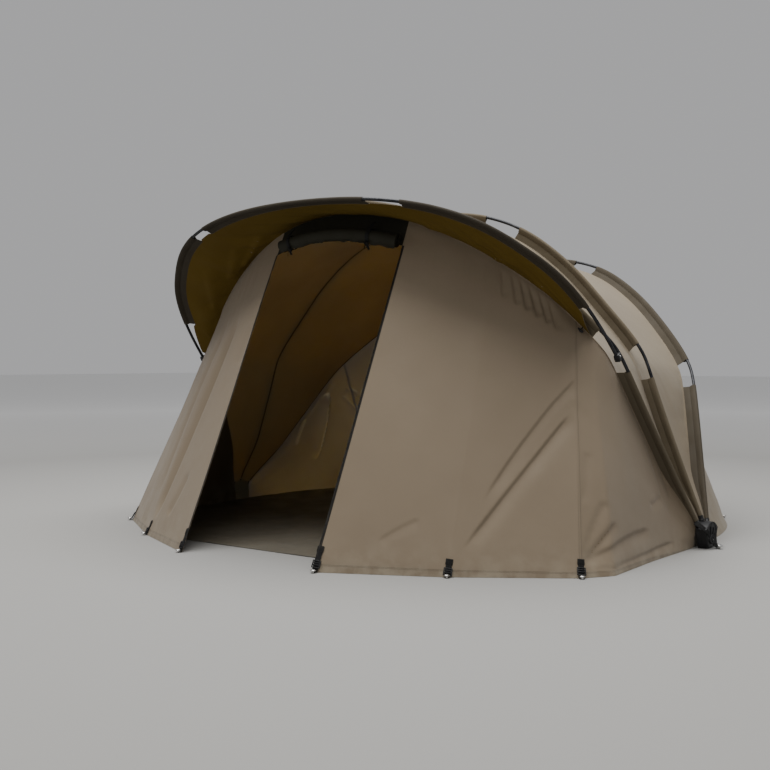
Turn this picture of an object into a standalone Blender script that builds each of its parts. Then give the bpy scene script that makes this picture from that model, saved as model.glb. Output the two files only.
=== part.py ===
"""A two-person bivvy tent: bent ribs fanned out from two hubs on the ground, with cloth over them.

Metres, +Z up. The origin is on the ground midway between the hubs, +X runs to the right hub and
the doorway faces -Y. Cloth is modelled 4 mm thick, so that every sheet is a solid of its own.
"""
import math

import bmesh
import bpy
from mathutils import Vector

HUB_HALF_SPAN = 1.564
HUB_PIVOT_HEIGHT = 0.036
HUB_RADIUS = 0.126
HUB_INNER = 0.0305
HUB_OUTER = 0.025
HUB_FAN = (-40.0, 46.0)
HUB_STEPS = 12
HUB_FOOT = (-0.045, 0.050)
SLEEVE_START = 0.15

POLE_RADIUS = 0.008
SLEEVE_BORE = 0.0084
SLEEVE_RADIUS = 0.0108
CLOTH = 0.004
SEAM_GAP = 0.0003
# A sleeve is a fin: the pole runs in its outer edge, and its inner edge is sewn to the canopy.
FIN = 0.058
FIN_AT_HUB = 0.0113
FIN_TAPER = 0.45
FOOT_GAP = 0.0015
POLE_SIDES = 8
CURVE_STEPS = 400
NO_BOW = (0.0, 1.0, 0.0)

# A rib lies in one plane, leaning about the line through the hubs. Its outline gives half width
# and height in that plane, as the pull points of a smooth curve from the hub to the crown.
# The bare stretches are lengths along the rib, where its sleeve is cut away from the pole. Bow
# gives the lengths between which the rib swells outward from that curve, and by how much.
FRONT_RIB = {
    "lean": -28.5,
    "foot": 1.564,
    "bow": (1.12, 1.50, 0.048),
    "outline": [(1.356, 0.900), (1.351, 1.118), (1.133, 1.294), (0.848, 1.590), (0.336, 1.874)],
    "side_gap": (0.96, 1.20),
    "top_gap": (2.13, 2.285),
}
MIDDLE_RIB = {
    "lean": -1.0,
    "foot": 1.577,
    "outline": [(1.284, 0.784), (1.285, 0.927), (1.047, 1.180), (0.785, 1.496), (0.378, 1.729)],
    "side_gap": (0.836, 1.022),
    "top_gap": (1.937, 2.157),
}
REAR_RIB = {
    "lean": 36.0,
    "foot": 1.567,
    "outline": [(1.311, 0.932), (1.267, 1.087), (1.031, 1.385), (0.749, 1.698), (0.380, 1.934)],
    "side_gap": (0.955, 1.141),
    "top_gap": (2.171, 2.340),
}
# The porch rib is hinged on the front rib, so its outline starts at that hinge.
PORCH_LEAN = -43.0
PORCH_OUTLINE = [(1.282, 0.389), (1.097, 0.640), (0.840, 0.894), (0.372, 1.002)]
PORCH_HINGE_LENGTH = 1.06
PORCH_HINGE_REACH = 0.030
PORCH_FOOT = [0.0128, 0.14]
PORCH_DROOP = 0.25
PORCH_STATIONS = [0.27, 0.50, 0.75, 0.95, 1.062, 1.177, 1.307, 1.499, 1.69]
PORCH_BARE_RIGHT = 7
PORCH_BARE_LEFT = 4
SEAM_LENGTH = 1.30

# Stations count from the right hub: 5 and 7 bound the bare side, 13 and 14 the bare top.
SIDE_LOW, SIDE_HIGH = 5, 7
TOP_LOW, TOP_HIGH = 13, 14
CROWN = 16
LAST = 2 * CROWN

# Hem of the front and of the back on the ground, as a station of the rib and its place there.
FRONT_HEM = {
    0: (1.515, -0.060), 5: (1.486, -0.500), 7: (1.480, -0.905), 8: (1.387, -1.033),
    11: (0.923, -1.340), 14: (0.398, -1.588), 16: (0.0, -1.640),
}
BACK_HEM_START = 0.060
BACK_HEM_DEPTH = 1.560
BACK_HEM_SQUARENESS = 2.58
SEAM_STATION = 8
DOOR_STATION = 14
BACK_SEAM_STATION = 7
LINTEL_DEPTH = 0.075
CANOPY_SAG = 0.024
PORCH_SAG = 0.030
BACK_SAG = 0.018
STATION_GAP = 0.003
ALONG_STEP = 0.01

KNUCKLE_BEHIND = 0.011
KNUCKLE_ABOVE = 0.026
KNUCKLE_BELOW = 0.010
KNUCKLE_INNER = 0.0095
KNUCKLE_OUTER = 0.016

ROLL_RADIUS = 0.034
ROLL_END = 0.05
TIE_THICKNESS = 0.002
TIE_STATION = 14.8
TIE_HALF_WIDTH = 0.065

FRONT_TABS = [8, 11, 14]
BACK_TABS = [6, 16]
TAB_HALF_WIDTH = 0.014
TAB_HEIGHT = 0.095
TAB_THICKNESS = 0.004
TAB_GAP = 0.0005
PEG_STEM = 0.0045
PEG_HEAD = 0.012
PEG_HEAD_HEIGHT = 0.008
PEG_HEAD_DEPTH = 0.007
PEG_BITE = 0.0025
PEG_SIDES = 10
PEG_CLEARANCE = 0.0003

GROUNDSHEET = 0.004
GROUNDSHEET_FRONT = -1.33
GROUNDSHEET_INSET = 0.0026
GROUNDSHEET_STEP = 0.02

COLOURS = {
    "cloth": ((0.205, 0.165, 0.115), 0.75, 0.0),
    "sleeve": ((0.085, 0.068, 0.046), 0.8, 0.0),
    "door_roll": ((0.030, 0.030, 0.020), 0.8, 0.0),
    "groundsheet": ((0.060, 0.052, 0.042), 0.6, 0.0),
    "pole": ((0.020, 0.021, 0.024), 0.35, 0.4),
    "hub": ((0.015, 0.015, 0.016), 0.45, 0.0),
    "webbing": ((0.025, 0.025, 0.027), 0.7, 0.0),
}


def clear_scene():
    """Start from an empty scene."""
    for thing in list(bpy.data.objects):
        bpy.data.objects.remove(thing, do_unlink=True)


def material(name):
    """The part's own plain finish of that name."""
    if name in bpy.data.materials:
        return bpy.data.materials[name]
    colour, roughness, metallic = COLOURS[name]
    made = bpy.data.materials.new(name)
    made.use_nodes = True
    shader = made.node_tree.nodes["Principled BSDF"]
    shader.inputs["Base Color"].default_value = (*colour, 1.0)
    shader.inputs["Roughness"].default_value = roughness
    shader.inputs["Metallic"].default_value = metallic
    return made


def finish(name, mesh_maker, finish_name):
    """Turn a filled bmesh into a named object with its faces pointing out."""
    bmesh.ops.recalc_face_normals(mesh_maker, faces=mesh_maker.faces)
    mesh = bpy.data.meshes.new(name)
    mesh_maker.to_mesh(mesh)
    mesh_maker.free()
    mesh.shade_smooth()
    mesh.set_sharp_from_angle(angle=math.radians(35))
    made = bpy.data.objects.new(name, mesh)
    made.data.materials.append(material(finish_name))
    bpy.context.scene.collection.objects.link(made)
    return made


def smooth_curve(points, steps):
    """Points along a cubic B-spline that starts and ends at the first and last pull point."""
    degree = 3
    spans = len(points) - degree
    knots = [0.0] * degree + [float(i) for i in range(spans + 1)] + [float(spans)] * degree
    curve = []
    for step in range(steps + 1):
        u = spans * step / steps
        first = min(int(u), spans - 1) + degree
        pull = [Vector(points[first - degree + i]) for i in range(degree + 1)]
        for level in range(1, degree + 1):
            for i in range(degree, level - 1, -1):
                low = knots[first - degree + i]
                high = knots[first + 1 + i - level]
                pull[i] = pull[i - 1].lerp(pull[i], (u - low) / (high - low))
        curve.append(pull[degree])
    return curve


class Station:
    """One place on a rib: the pole's centre, its directions, and the seam at the fin's edge."""

    def __init__(self, centre, along, inward, back, fin=0.0):
        self.centre = centre
        self.along = along
        self.inward = inward
        self.back = back
        self.point_fin(inward, fin)

    def point_fin(self, drop, fin):
        """Turn the fin to a direction square to the pole, and set its depth."""
        self.drop = (drop - self.along * drop.dot(self.along)).normalized()
        self.seam = self.centre + self.drop * fin


def ease(value, low, high):
    """Smooth step from 0 at low to 1 at high."""
    part = min(max((value - low) / (high - low), 0.0), 1.0)
    return part * part * (3.0 - 2.0 * part)


def place_station(origin, lean, point, heading, side, fin):
    """Carry a place in the rib's flat outline to its leaning plane, on the given side."""
    up = Vector((0.0, math.sin(lean), math.cos(lean)))
    across = Vector((1.0, 0.0, 0.0))
    centre = origin + across * side * point.x + up * point.y
    along = across * side * heading.x + up * heading.y
    inward = across * side * -heading.y + up * heading.x
    back = Vector((0.0, math.cos(lean), -math.sin(lean)))
    return Station(centre, along * side, inward, back, fin)


def half_curve(outline, bow):
    """Half a rib in its plane, from the foot to the crown, and the length reached at each point."""
    drawn = smooth_curve(outline + [(0.0, outline[-1][1])], CURVE_STEPS)
    low, high, swell = bow
    curve, length = [], 0.0
    for i, point in enumerate(drawn):
        before, after = drawn[max(i - 1, 0)], drawn[min(i + 1, len(drawn) - 1)]
        heading = (after - before).normalized()
        length += (point - drawn[max(i - 1, 0)]).length
        curve.append(point + Vector((heading.y, -heading.x)) * swell * ease(length, low, high))
    reach = [0.0]
    for before, after in zip(curve, curve[1:]):
        reach.append(reach[-1] + (after - before).length)
    return curve, reach


def rib_stations(outline, lean_degrees, lengths, origin=Vector(), bow=NO_BOW):
    """All stations of a rib, from its right foot over the crown to its left foot."""
    curve, reach = half_curve(outline, bow)
    places = []
    for length in list(lengths) + [reach[-1]]:
        i = max(j for j in range(len(curve) - 1) if reach[j] <= length)
        part = (length - reach[i]) / (reach[i + 1] - reach[i])
        heading = (curve[i + 1] - curve[i]).normalized()
        fin = FIN_AT_HUB + (FIN - FIN_AT_HUB) * ease(length, lengths[0], FIN_TAPER)
        places.append((curve[i].lerp(curve[i + 1], part), heading, fin))
    lean = math.radians(lean_degrees)
    right = [place_station(origin, lean, *place[:2], 1.0, place[2]) for place in places]
    left = [place_station(origin, lean, *place[:2], -1.0, place[2]) for place in places[:-1]]
    return right + left[::-1]


def between_stations(first, second, part):
    """A station part of the way from one to the next."""
    made = Station(first.centre.lerp(second.centre, part), first.along,
                   first.inward.lerp(second.inward, part).normalized(), first.back)
    seam = first.seam.lerp(second.seam, part)
    made.point_fin(seam - made.centre, (seam - made.centre).length)
    return made


def spread(low, high, count):
    """Evenly spaced lengths from low up to, and without, high."""
    return [low + (high - low) * i / count for i in range(count)]


def ground_rib(rib, seam=None):
    """Stations of a rib that stands on the hubs, its end face resting on their rim."""
    side_low, side_high = rib["side_gap"]
    top_low, top_high = rib["top_gap"]
    pull = rib["outline"][0]
    tilt = math.atan2(rib["foot"] - pull[0], pull[1] - HUB_PIVOT_HEIGHT)
    lowest = HUB_RADIUS + SEAM_GAP + POLE_RADIUS * math.sin(tilt)
    start = (lowest - HUB_PIVOT_HEIGHT) / math.cos(tilt)
    lengths = spread(start, side_low, SIDE_LOW) + spread(side_low, side_high, 2)
    if seam is None:
        lengths += spread(side_high, top_low, TOP_LOW - SIDE_HIGH)
    else:
        lengths += [side_high] + spread(seam, top_low, TOP_LOW - SIDE_HIGH - 1)
    lengths += [top_low, top_high]
    outline = [(rib["foot"], HUB_PIVOT_HEIGHT)] + rib["outline"]
    bow = rib.get("bow", NO_BOW)
    crown_length = half_curve(outline, bow)[1][-1]
    lengths += [0.5 * (top_high + crown_length)]
    return rib_stations(outline, rib["lean"], lengths, bow=bow)


def rib_point(rib, length):
    """The pole's centre at a length from the right hub."""
    outline = [(rib["foot"], HUB_PIVOT_HEIGHT)] + rib["outline"]
    return rib_stations(outline, rib["lean"], [length], bow=rib.get("bow", NO_BOW))[0].centre


def ring(station, radius):
    """A circle of points round the pole at a station, one of them towards the seam."""
    turn = 2.0 * math.pi / POLE_SIDES
    across = station.along.cross(station.drop)
    return [station.centre - station.drop * math.cos(turn * i) * radius
            + across * math.sin(turn * i) * radius for i in range(POLE_SIDES)]


def fin_ring(station):
    """The outside of a sleeve at a station: a drop shape round the pole that ends at the seam."""
    points = ring(station, SLEEVE_RADIUS)
    points[POLE_SIDES // 2] = station.seam - station.drop * 2.0 * SEAM_GAP
    return points


def skin(maker, first, second):
    """Faces between two closed rings of vertices."""
    count = len(first)
    for i in range(count):
        after = (i + 1) % count
        maker.faces.new((first[i], first[after], second[after], second[i]))


def tube(name, rings, finish_name, bores=None):
    """A solid rod through rings of points, or with bores an open sleeve round them."""
    maker = bmesh.new()
    outer = [[maker.verts.new(p) for p in points] for points in rings]
    for first, second in zip(outer, outer[1:]):
        skin(maker, first, second)
    if bores is None:
        maker.faces.new(outer[0])
        maker.faces.new(outer[-1])
    else:
        inner = [[maker.verts.new(p) for p in points] for points in bores]
        for first, second in zip(inner, inner[1:]):
            skin(maker, first, second)
        skin(maker, outer[0], inner[0])
        skin(maker, outer[-1], inner[-1])
    return finish(name, maker, finish_name)


def rod(name, stations, radius, finish_name):
    """A solid rod along the stations."""
    tube(name, [ring(s, radius) for s in stations], finish_name)


def sleeve(name, stations):
    """A length of sleeve: open round the pole, with its fin down to the seam."""
    tube(name, [fin_ring(s) for s in stations], "sleeve", [ring(s, SLEEVE_BORE) for s in stations])


def sheet(name, outer, inner, finish_name):
    """A closed sheet between two grids of points, given as rows of equal length."""
    maker = bmesh.new()
    faces = []
    for grid in (outer, inner):
        faces.append([[maker.verts.new(p) for p in row] for row in grid])
    for grid in faces:
        for row, after in zip(grid, grid[1:]):
            for i in range(len(row) - 1):
                maker.faces.new((row[i], row[i + 1], after[i + 1], after[i]))
    top, under = faces
    border = top[0][:-1] + [row[-1] for row in top[:-1]] + top[-1][:0:-1]
    border += [row[0] for row in top[:0:-1]]
    below = under[0][:-1] + [row[-1] for row in under[:-1]] + under[-1][:0:-1]
    below += [row[0] for row in under[:0:-1]]
    skin(maker, border, below)
    return finish(name, maker, finish_name)


def between(points_at, place):
    """Points at a place between two stations, from those at the stations on either side."""
    low = min(int(math.floor(place)), LAST - 1)
    part = place - low
    if part < 1e-6:
        return points_at(low)
    return [(a.lerp(c, part), b.lerp(d, part))
            for (a, b), (c, d) in zip(points_at(low), points_at(low + 1))]


def rows_of(points_at, places):
    """Outer and inner grids of a sheet from the point pairs of each row."""
    rows = [between(points_at, place) for place in places]
    outer = [[pair[0] for pair in row] for row in rows]
    inner = [[pair[1] for pair in row] for row in rows]
    return outer, inner


def under_pole(station, away):
    """Inward direction to a cloth that leaves a rib the given way, clear of the pole in a valley."""
    square = away.cross(station.along).normalized()
    if square.dot(station.inward) < 0.0:
        square = -square
    if square.dot(station.back) * away.dot(station.back) < 0.0:
        return station.inward
    return square


def bay_points(front, rear, sag, steps):
    """Point pairs across the cloth between two ribs, as a function of the station."""
    def at(k):
        a, b = front[k], rear[k]
        chord = b.seam - a.seam
        under_a = under_pole(a, chord)
        under_b = under_pole(b, -chord)
        start = a.seam + a.back * SEAM_GAP
        end = b.seam - b.back * SEAM_GAP
        pairs = []
        for i in range(steps + 1):
            t = i / steps
            inward = under_a.lerp(under_b, t).normalized()
            depth = sag * chord.length * 4.0 * t * (1.0 - t)
            outer = start.lerp(end, t) + inward * depth
            pairs.append((outer, outer + inward * CLOTH))
        return pairs
    return at


def foot_row(front_y, rear_y, side, steps):
    """Point pairs where the cloth between two ribs meets the ground inside a hub."""
    x = FRONT_HEM[0][0]
    pairs = []
    for i in range(steps + 1):
        y = front_y + (rear_y - front_y) * i / steps
        pairs.append((Vector((side * x, y, 0.0)), Vector((side * (x - CLOTH), y, 0.0))))
    return pairs


def make_bay(name, front, rear, foot_y):
    """A bay of the canopy: a wall on each side from the ground, and a roof between them."""
    steps = 4
    points_at = bay_points(front, rear, CANOPY_SAG, steps)
    edge = [k for k in range(0, SIDE_HIGH)] + [SIDE_HIGH - STATION_GAP]
    outer, inner = rows_of(points_at, edge)
    foot = foot_row(foot_y[0] + FOOT_GAP, foot_y[1] - FOOT_GAP, 1.0, steps)
    sheet(name + "_wall_right", [[p[0] for p in foot]] + outer, [[p[1] for p in foot]] + inner,
          "cloth")
    outer, inner = rows_of(points_at, [LAST - k for k in edge])
    foot = foot_row(foot_y[0] + FOOT_GAP, foot_y[1] - FOOT_GAP, -1.0, steps)
    sheet(name + "_wall_left", [[p[0] for p in foot]] + outer, [[p[1] for p in foot]] + inner,
          "cloth")
    roof = [SIDE_HIGH + STATION_GAP] + list(range(SIDE_HIGH + 1, LAST - SIDE_HIGH))
    outer, inner = rows_of(points_at, roof + [LAST - SIDE_HIGH - STATION_GAP])
    sheet(name + "_roof", outer, inner, "cloth")


def back_hem():
    """Place of the back hem at each station: a squarish oval from hub to hub."""
    power = 2.0 / BACK_HEM_SQUARENESS
    start = math.asin((BACK_HEM_START / BACK_HEM_DEPTH) ** (1.0 / power))
    hem = {}
    for k in range(CROWN + 1):
        turn = start + (0.5 * math.pi - start) * k / CROWN
        hem[k] = (FRONT_HEM[0][0] * math.cos(turn) ** power, BACK_HEM_DEPTH * math.sin(turn) ** power)
    hem[CROWN] = (0.0, BACK_HEM_DEPTH)
    return hem


def hem_place(hem, k):
    """Place of the hem on the ground that belongs to a station, mirrored on the left."""
    side = 1.0
    if k > CROWN:
        k, side = LAST - k, -1.0
    keys = sorted(hem)
    after = next(key for key in keys if key >= k)
    before = max(key for key in keys if key <= k)
    part = 0.0 if after == before else (k - before) / (after - before)
    x = hem[before][0] + (hem[after][0] - hem[before][0]) * part
    y = hem[before][1] + (hem[after][1] - hem[before][1]) * part
    return Vector((side * x, y, 0.0))


def hem_outward(hem, k):
    """Level direction square to the hem, pointing out of the tent."""
    before = hem_place(hem, max(k - 0.5, 0.0))
    after = hem_place(hem, min(k + 0.5, float(LAST)))
    run = (after - before).normalized()
    outward = Vector((-run.y, run.x, 0.0))
    centre = hem_place(hem, k)
    return outward if outward.dot(centre) > 0.0 else -outward


def wall_points(rib, hem, facing, sag, steps, top=0.0, bottom=1.0):
    """Point pairs down a wall that hangs from a rib to its hem, as a function of the station."""
    def at(k):
        place = rib[k]
        ground = hem_place(hem, k)
        out = place.along.cross(ground - place.seam).normalized()
        if out.dot(place.back * facing - place.inward) < 0.0:
            out = -out
        square = abs(out.dot(place.inward)) * CLOTH
        head = place.seam + place.inward * (CLOTH + SEAM_GAP + 0.5 * square)
        head += place.back * facing * (2.0 * SEAM_GAP + 0.5 * CLOTH * abs(out.dot(place.back)))
        foot_out = hem_outward(hem, k)
        pairs = []
        for i in range(steps + 1):
            t = top + (bottom - top) * i / steps
            depth = sag * (ground - head).length * 4.0 * t * (1.0 - t)
            middle = head.lerp(ground, t) - out * depth
            across = out.lerp(foot_out, t).normalized() * 0.5 * CLOTH
            pairs.append((middle + across, middle - across))
        for i in range(steps + 1):
            if bottom == 1.0 and i == steps:
                pairs[i] = tuple(Vector((p.x, p.y, 0.0)) for p in pairs[i])
        return pairs
    return at


def make_front(front, full):
    """The zip-in front: flanks and panels beside the open doorway, and the lintel over it."""
    flank = [0.0 + STATION_GAP] + list(range(1, SEAM_STATION)) + [SEAM_STATION - STATION_GAP]
    panel = [SEAM_STATION + STATION_GAP] + list(range(SEAM_STATION + 1, DOOR_STATION + 1))
    for side, flip in (("right", False), ("left", True)):
        for name, places in (("flank", flank), ("front_panel", panel)):
            if flip:
                places = [LAST - k for k in places]
            sheet(f"{name}_{side}", *rows_of(full, places), "cloth")
    short = wall_points(front, FRONT_HEM, -1.0, 0.0, 1, 0.0, LINTEL_DEPTH)
    places = [DOOR_STATION + STATION_GAP] + list(range(DOOR_STATION + 1, LAST - DOOR_STATION))
    sheet("lintel", *rows_of(short, places + [LAST - DOOR_STATION - STATION_GAP]), "cloth")


def make_back(full):
    """The back panel in three widths, from the rear rib down to the ground."""
    seam = BACK_SEAM_STATION
    side = [STATION_GAP] + list(range(1, seam)) + [seam - STATION_GAP]
    middle = [seam + STATION_GAP] + list(range(seam + 1, LAST - seam)) + [LAST - seam - STATION_GAP]
    sheet("back_panel_right", *rows_of(full, side), "cloth")
    sheet("back_panel_left", *rows_of(full, [LAST - k for k in side]), "cloth")
    sheet("back_panel_middle", *rows_of(full, middle), "cloth")


def make_door_roll(front):
    """The door cloth, rolled up under the lintel and held by two ties."""
    edge = wall_points(front, FRONT_HEM, -1.0, 0.0, 1, 0.0, LINTEL_DEPTH)
    stand_off = ROLL_RADIUS + TIE_THICKNESS + SEAM_GAP

    def roll_stations(places):
        stations = []
        for place in places:
            outer, inner = between(edge, place)[-1]
            out = (outer - inner).normalized()
            near = between(edge, place + ALONG_STEP)[-1][0]
            along = (near - outer).normalized()
            stations.append(Station(outer + out * stand_off, along, -out, along.cross(out)))
        return stations

    low, high = DOOR_STATION + ROLL_END, LAST - DOOR_STATION - ROLL_END
    places = [0.5 * i for i in range(2 * DOOR_STATION + 1, 2 * (LAST - DOOR_STATION))]
    places = [low] + places + [high - ALONG_STEP]
    rod("door_roll", roll_stations(places), ROLL_RADIUS, "door_roll")
    for side, centre in (("right", TIE_STATION), ("left", LAST - TIE_STATION)):
        ends = roll_stations([centre - TIE_HALF_WIDTH, centre + TIE_HALF_WIDTH])
        tube(f"door_tie_{side}", [ring(s, ROLL_RADIUS + TIE_THICKNESS) for s in ends], "webbing",
             [ring(s, ROLL_RADIUS + SEAM_GAP) for s in ends])


def make_sleeves(name, stations):
    """The five lengths of sleeve on a rib that stands on the hubs."""
    lengths = {
        "sleeve_leg_right": (0, SIDE_LOW), "sleeve_shoulder_right": (SIDE_HIGH, TOP_LOW),
        "sleeve_crown": (TOP_HIGH, LAST - TOP_HIGH),
        "sleeve_shoulder_left": (LAST - TOP_LOW, LAST - SIDE_HIGH),
        "sleeve_leg_left": (LAST - SIDE_LOW, LAST),
    }
    ends = {0: between_stations(stations[0], stations[1], SLEEVE_START),
            LAST: between_stations(stations[LAST], stations[LAST - 1], SLEEVE_START)}
    for label, (low, high) in lengths.items():
        run = [ends.get(k, stations[k]) for k in range(low, high + 1)]
        sleeve(f"{name}_{label}", run)


def make_porch(front):
    """The porch rib on its knuckles, its sleeves and the cloth back to the front rib."""
    hinge = rib_point(FRONT_RIB, PORCH_HINGE_LENGTH)
    lean = math.radians(FRONT_RIB["lean"])
    ahead = Vector((0.0, -math.cos(lean), math.sin(lean)))
    origin = Vector((0.0, hinge.y, hinge.z)) + ahead * PORCH_HINGE_REACH
    outline = [(hinge.x, 0.0)] + PORCH_OUTLINE
    stations = rib_stations(outline, PORCH_LEAN, PORCH_FOOT + PORCH_STATIONS, origin)
    first = len(PORCH_FOOT)
    last = len(stations) - 1
    inner_rib = front[SIDE_HIGH:LAST - SIDE_HIGH + 1]
    for i, station in enumerate(stations):
        partner = inner_rib[min(max(i - first, 0), len(inner_rib) - 1)]
        towards = (partner.seam - station.centre).normalized()
        station.point_fin(towards + station.inward * PORCH_DROOP, FIN)
    rod("porch_pole", stations, POLE_RADIUS, "pole")
    bare_right = first + PORCH_BARE_RIGHT
    bare_left = last - first - PORCH_BARE_LEFT
    sleeve("porch_sleeve_right", stations[first:bare_right])
    sleeve("porch_sleeve_crown", stations[bare_right:bare_left])
    sleeve("porch_sleeve_left", stations[bare_left:last - first + 1])
    outer_rib = stations[first:last - first + 1]
    points_at = bay_points(outer_rib, inner_rib, PORCH_SAG, 3)
    rows = [points_at(k) for k in range(len(inner_rib))]
    sheet("porch_canopy", [[p[0] for p in row] for row in rows],
          [[p[1] for p in row] for row in rows], "cloth")
    for side, label in ((1.0, "right"), (-1.0, "left")):
        make_knuckle(label, Vector((side * hinge.x, origin.y, origin.z)), -ahead, side)


def make_knuckle(label, pivot, back, side):
    """A moulded block on the front rib that the porch rib turns on."""
    maker = bmesh.new()
    across = Vector((1.0, 0.0, 0.0))
    up = back.cross(across)
    rear_face = PORCH_HINGE_REACH - POLE_RADIUS - SEAM_GAP
    corners = []
    for y in (-KNUCKLE_BEHIND, rear_face):
        for z in (-KNUCKLE_ABOVE, KNUCKLE_BELOW):
            for x in (-KNUCKLE_INNER, KNUCKLE_OUTER):
                corners.append(maker.verts.new(pivot + across * side * x + back * y - up * z))
    for face in ((0, 1, 3, 2), (4, 5, 7, 6), (0, 1, 5, 4), (2, 3, 7, 6), (0, 2, 6, 4), (1, 3, 7, 5)):
        maker.faces.new([corners[i] for i in face])
    finish(f"porch_knuckle_{label}", maker, "hub")


def make_hub(label, side):
    """A hub: a fan standing on the ground, with the rib ends on its curved rim."""
    maker = bmesh.new()
    low, high = (math.radians(angle) for angle in HUB_FAN)
    outline = [(HUB_FOOT[0], 0.0)]
    for i in range(HUB_STEPS + 1):
        angle = low + (high - low) * i / HUB_STEPS
        outline.append((HUB_RADIUS * math.sin(angle), HUB_RADIUS * math.cos(angle)))
    outline.append((HUB_FOOT[1], 0.0))
    faces = []
    for x in (-side * HUB_INNER, side * HUB_OUTER):
        row = [maker.verts.new((side * HUB_HALF_SPAN + x, y, z)) for y, z in outline]
        faces.append(row)
        maker.faces.new(row)
    skin(maker, faces[0], faces[1])
    finish(f"hub_{label}", maker, "hub")


def make_tab(name, points_at, hem, k):
    """A webbing tab on the hem with the head of its ground peg, as one solid."""
    step = (hem_place(hem, k) - hem_place(hem, k + (1 if k < CROWN else -1))).length
    half = TAB_HALF_WIDTH / step
    near, far = [], []
    for place in (k - half, float(k), k + half):
        above, ground = between(points_at, place)[-2:]
        part = TAB_HEIGHT / (above[0] - ground[0]).length
        row_near, row_far = [], []
        for outer, inner in ((ground[0].lerp(above[0], part), ground[1].lerp(above[1], part)),
                             ground):
            out = (outer - inner).normalized()
            row_near.append(outer + out * TAB_GAP)
            row_far.append(outer + out * (TAB_GAP + TAB_THICKNESS))
        near.append(row_near)
        far.append(row_far)
    tab = sheet(name, far, near, "webbing")
    high, low = far[1]
    touch = high.lerp(low, (high.z - PEG_HEAD_HEIGHT) / (high.z - low.z))
    foot = touch + hem_outward(hem, k) * (PEG_HEAD - PEG_BITE)
    peg = make_peg(name + "_peg", Vector((foot.x, foot.y, 0.0)))
    join = tab.modifiers.new("peg", "BOOLEAN")
    join.operation = "UNION"
    join.object = peg
    peg.hide_render = True
    peg.display_type = "WIRE"


def make_peg(name, foot):
    """The part of a ground peg that shows: a short stem with a round head."""
    maker = bmesh.new()
    profile = [(PEG_STEM, PEG_CLEARANCE), (PEG_STEM, PEG_HEAD_HEIGHT),
               (PEG_HEAD, PEG_HEAD_HEIGHT), (PEG_HEAD, PEG_HEAD_HEIGHT + PEG_HEAD_DEPTH)]
    turns = [2.0 * math.pi * i / PEG_SIDES for i in range(PEG_SIDES)]
    rings = []
    for radius, height in profile:
        circle = [Vector((radius * math.cos(t), radius * math.sin(t), height)) for t in turns]
        rings.append([maker.verts.new(foot + place) for place in circle])
    for first, second in zip(rings, rings[1:]):
        skin(maker, first, second)
    maker.faces.new(rings[0])
    maker.faces.new(rings[-1])
    return finish(name, maker, "webbing")


def make_tabs(front_face, back_face, back):
    """Tabs and pegs along the front hem and the back hem."""
    for number, k in enumerate(FRONT_TABS, start=1):
        make_tab(f"front_tab_right_{number}", front_face, FRONT_HEM, k)
        make_tab(f"front_tab_left_{number}", front_face, FRONT_HEM, LAST - k)
    corner, middle = BACK_TABS
    make_tab("back_tab_right", back_face, back, corner)
    make_tab("back_tab_middle", back_face, back, middle)
    make_tab("back_tab_left", back_face, back, LAST - corner)


def make_groundsheet(back):
    """The floor: it follows the hem inside the walls and stops short of the doorway."""
    inset = 0.5 * CLOTH + GROUNDSHEET_INSET
    outline = []
    for k in list(range(0, CROWN + 1)):
        place = hem_place(back, k) - hem_outward(back, k) * inset
        outline.append(place)
    outline += [Vector((-p.x, p.y, 0.0)) for p in outline[-2::-1]]
    front = []
    for k in range(0, CROWN):
        place = hem_place(FRONT_HEM, k) - hem_outward(FRONT_HEM, k) * inset
        if place.y > GROUNDSHEET_FRONT + GROUNDSHEET_STEP:
            front.append(place)
            last = place
    following = hem_place(FRONT_HEM, len(front)) - hem_outward(FRONT_HEM, len(front)) * inset
    part = (GROUNDSHEET_FRONT - last.y) / (following.y - last.y)
    front.append(last.lerp(following, part))
    outline += [Vector((-p.x, p.y, 0.0)) for p in front] + front[::-1]
    maker = bmesh.new()
    low = [maker.verts.new(p) for p in outline]
    high = [maker.verts.new(p + Vector((0.0, 0.0, GROUNDSHEET))) for p in outline]
    maker.faces.new(low)
    maker.faces.new(high)
    skin(maker, low, high)
    finish("groundsheet", maker, "groundsheet")


def build():
    clear_scene()
    front = ground_rib(FRONT_RIB, SEAM_LENGTH)
    middle = ground_rib(MIDDLE_RIB)
    rear = ground_rib(REAR_RIB)
    for name, stations in (("front", front), ("middle", middle), ("rear", rear)):
        rod(f"{name}_pole", stations, POLE_RADIUS, "pole")
        make_sleeves(name, stations)
    make_porch(front)
    make_bay("front_bay", front, middle, (FRONT_HEM[0][1], 0.0))
    make_bay("rear_bay", middle, rear, (0.0, BACK_HEM_START))
    back = back_hem()
    front_face = wall_points(front, FRONT_HEM, -1.0, 0.0, 6)
    back_face = wall_points(rear, back, 1.0, BACK_SAG, 5)
    make_front(front, front_face)
    make_back(back_face)
    make_door_roll(front)
    make_tabs(front_face, back_face, back)
    make_groundsheet(back)
    make_hub("right", 1.0)
    make_hub("left", -1.0)


build()
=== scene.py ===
"""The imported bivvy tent, dressed piece by piece: camera, light, ribs, cloth, fittings and ground.

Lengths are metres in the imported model's frame: the origin is on the ground midway between the
hubs, +X runs to the right hub, the doorway faces -Y and +Z is up.
"""
import math

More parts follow.
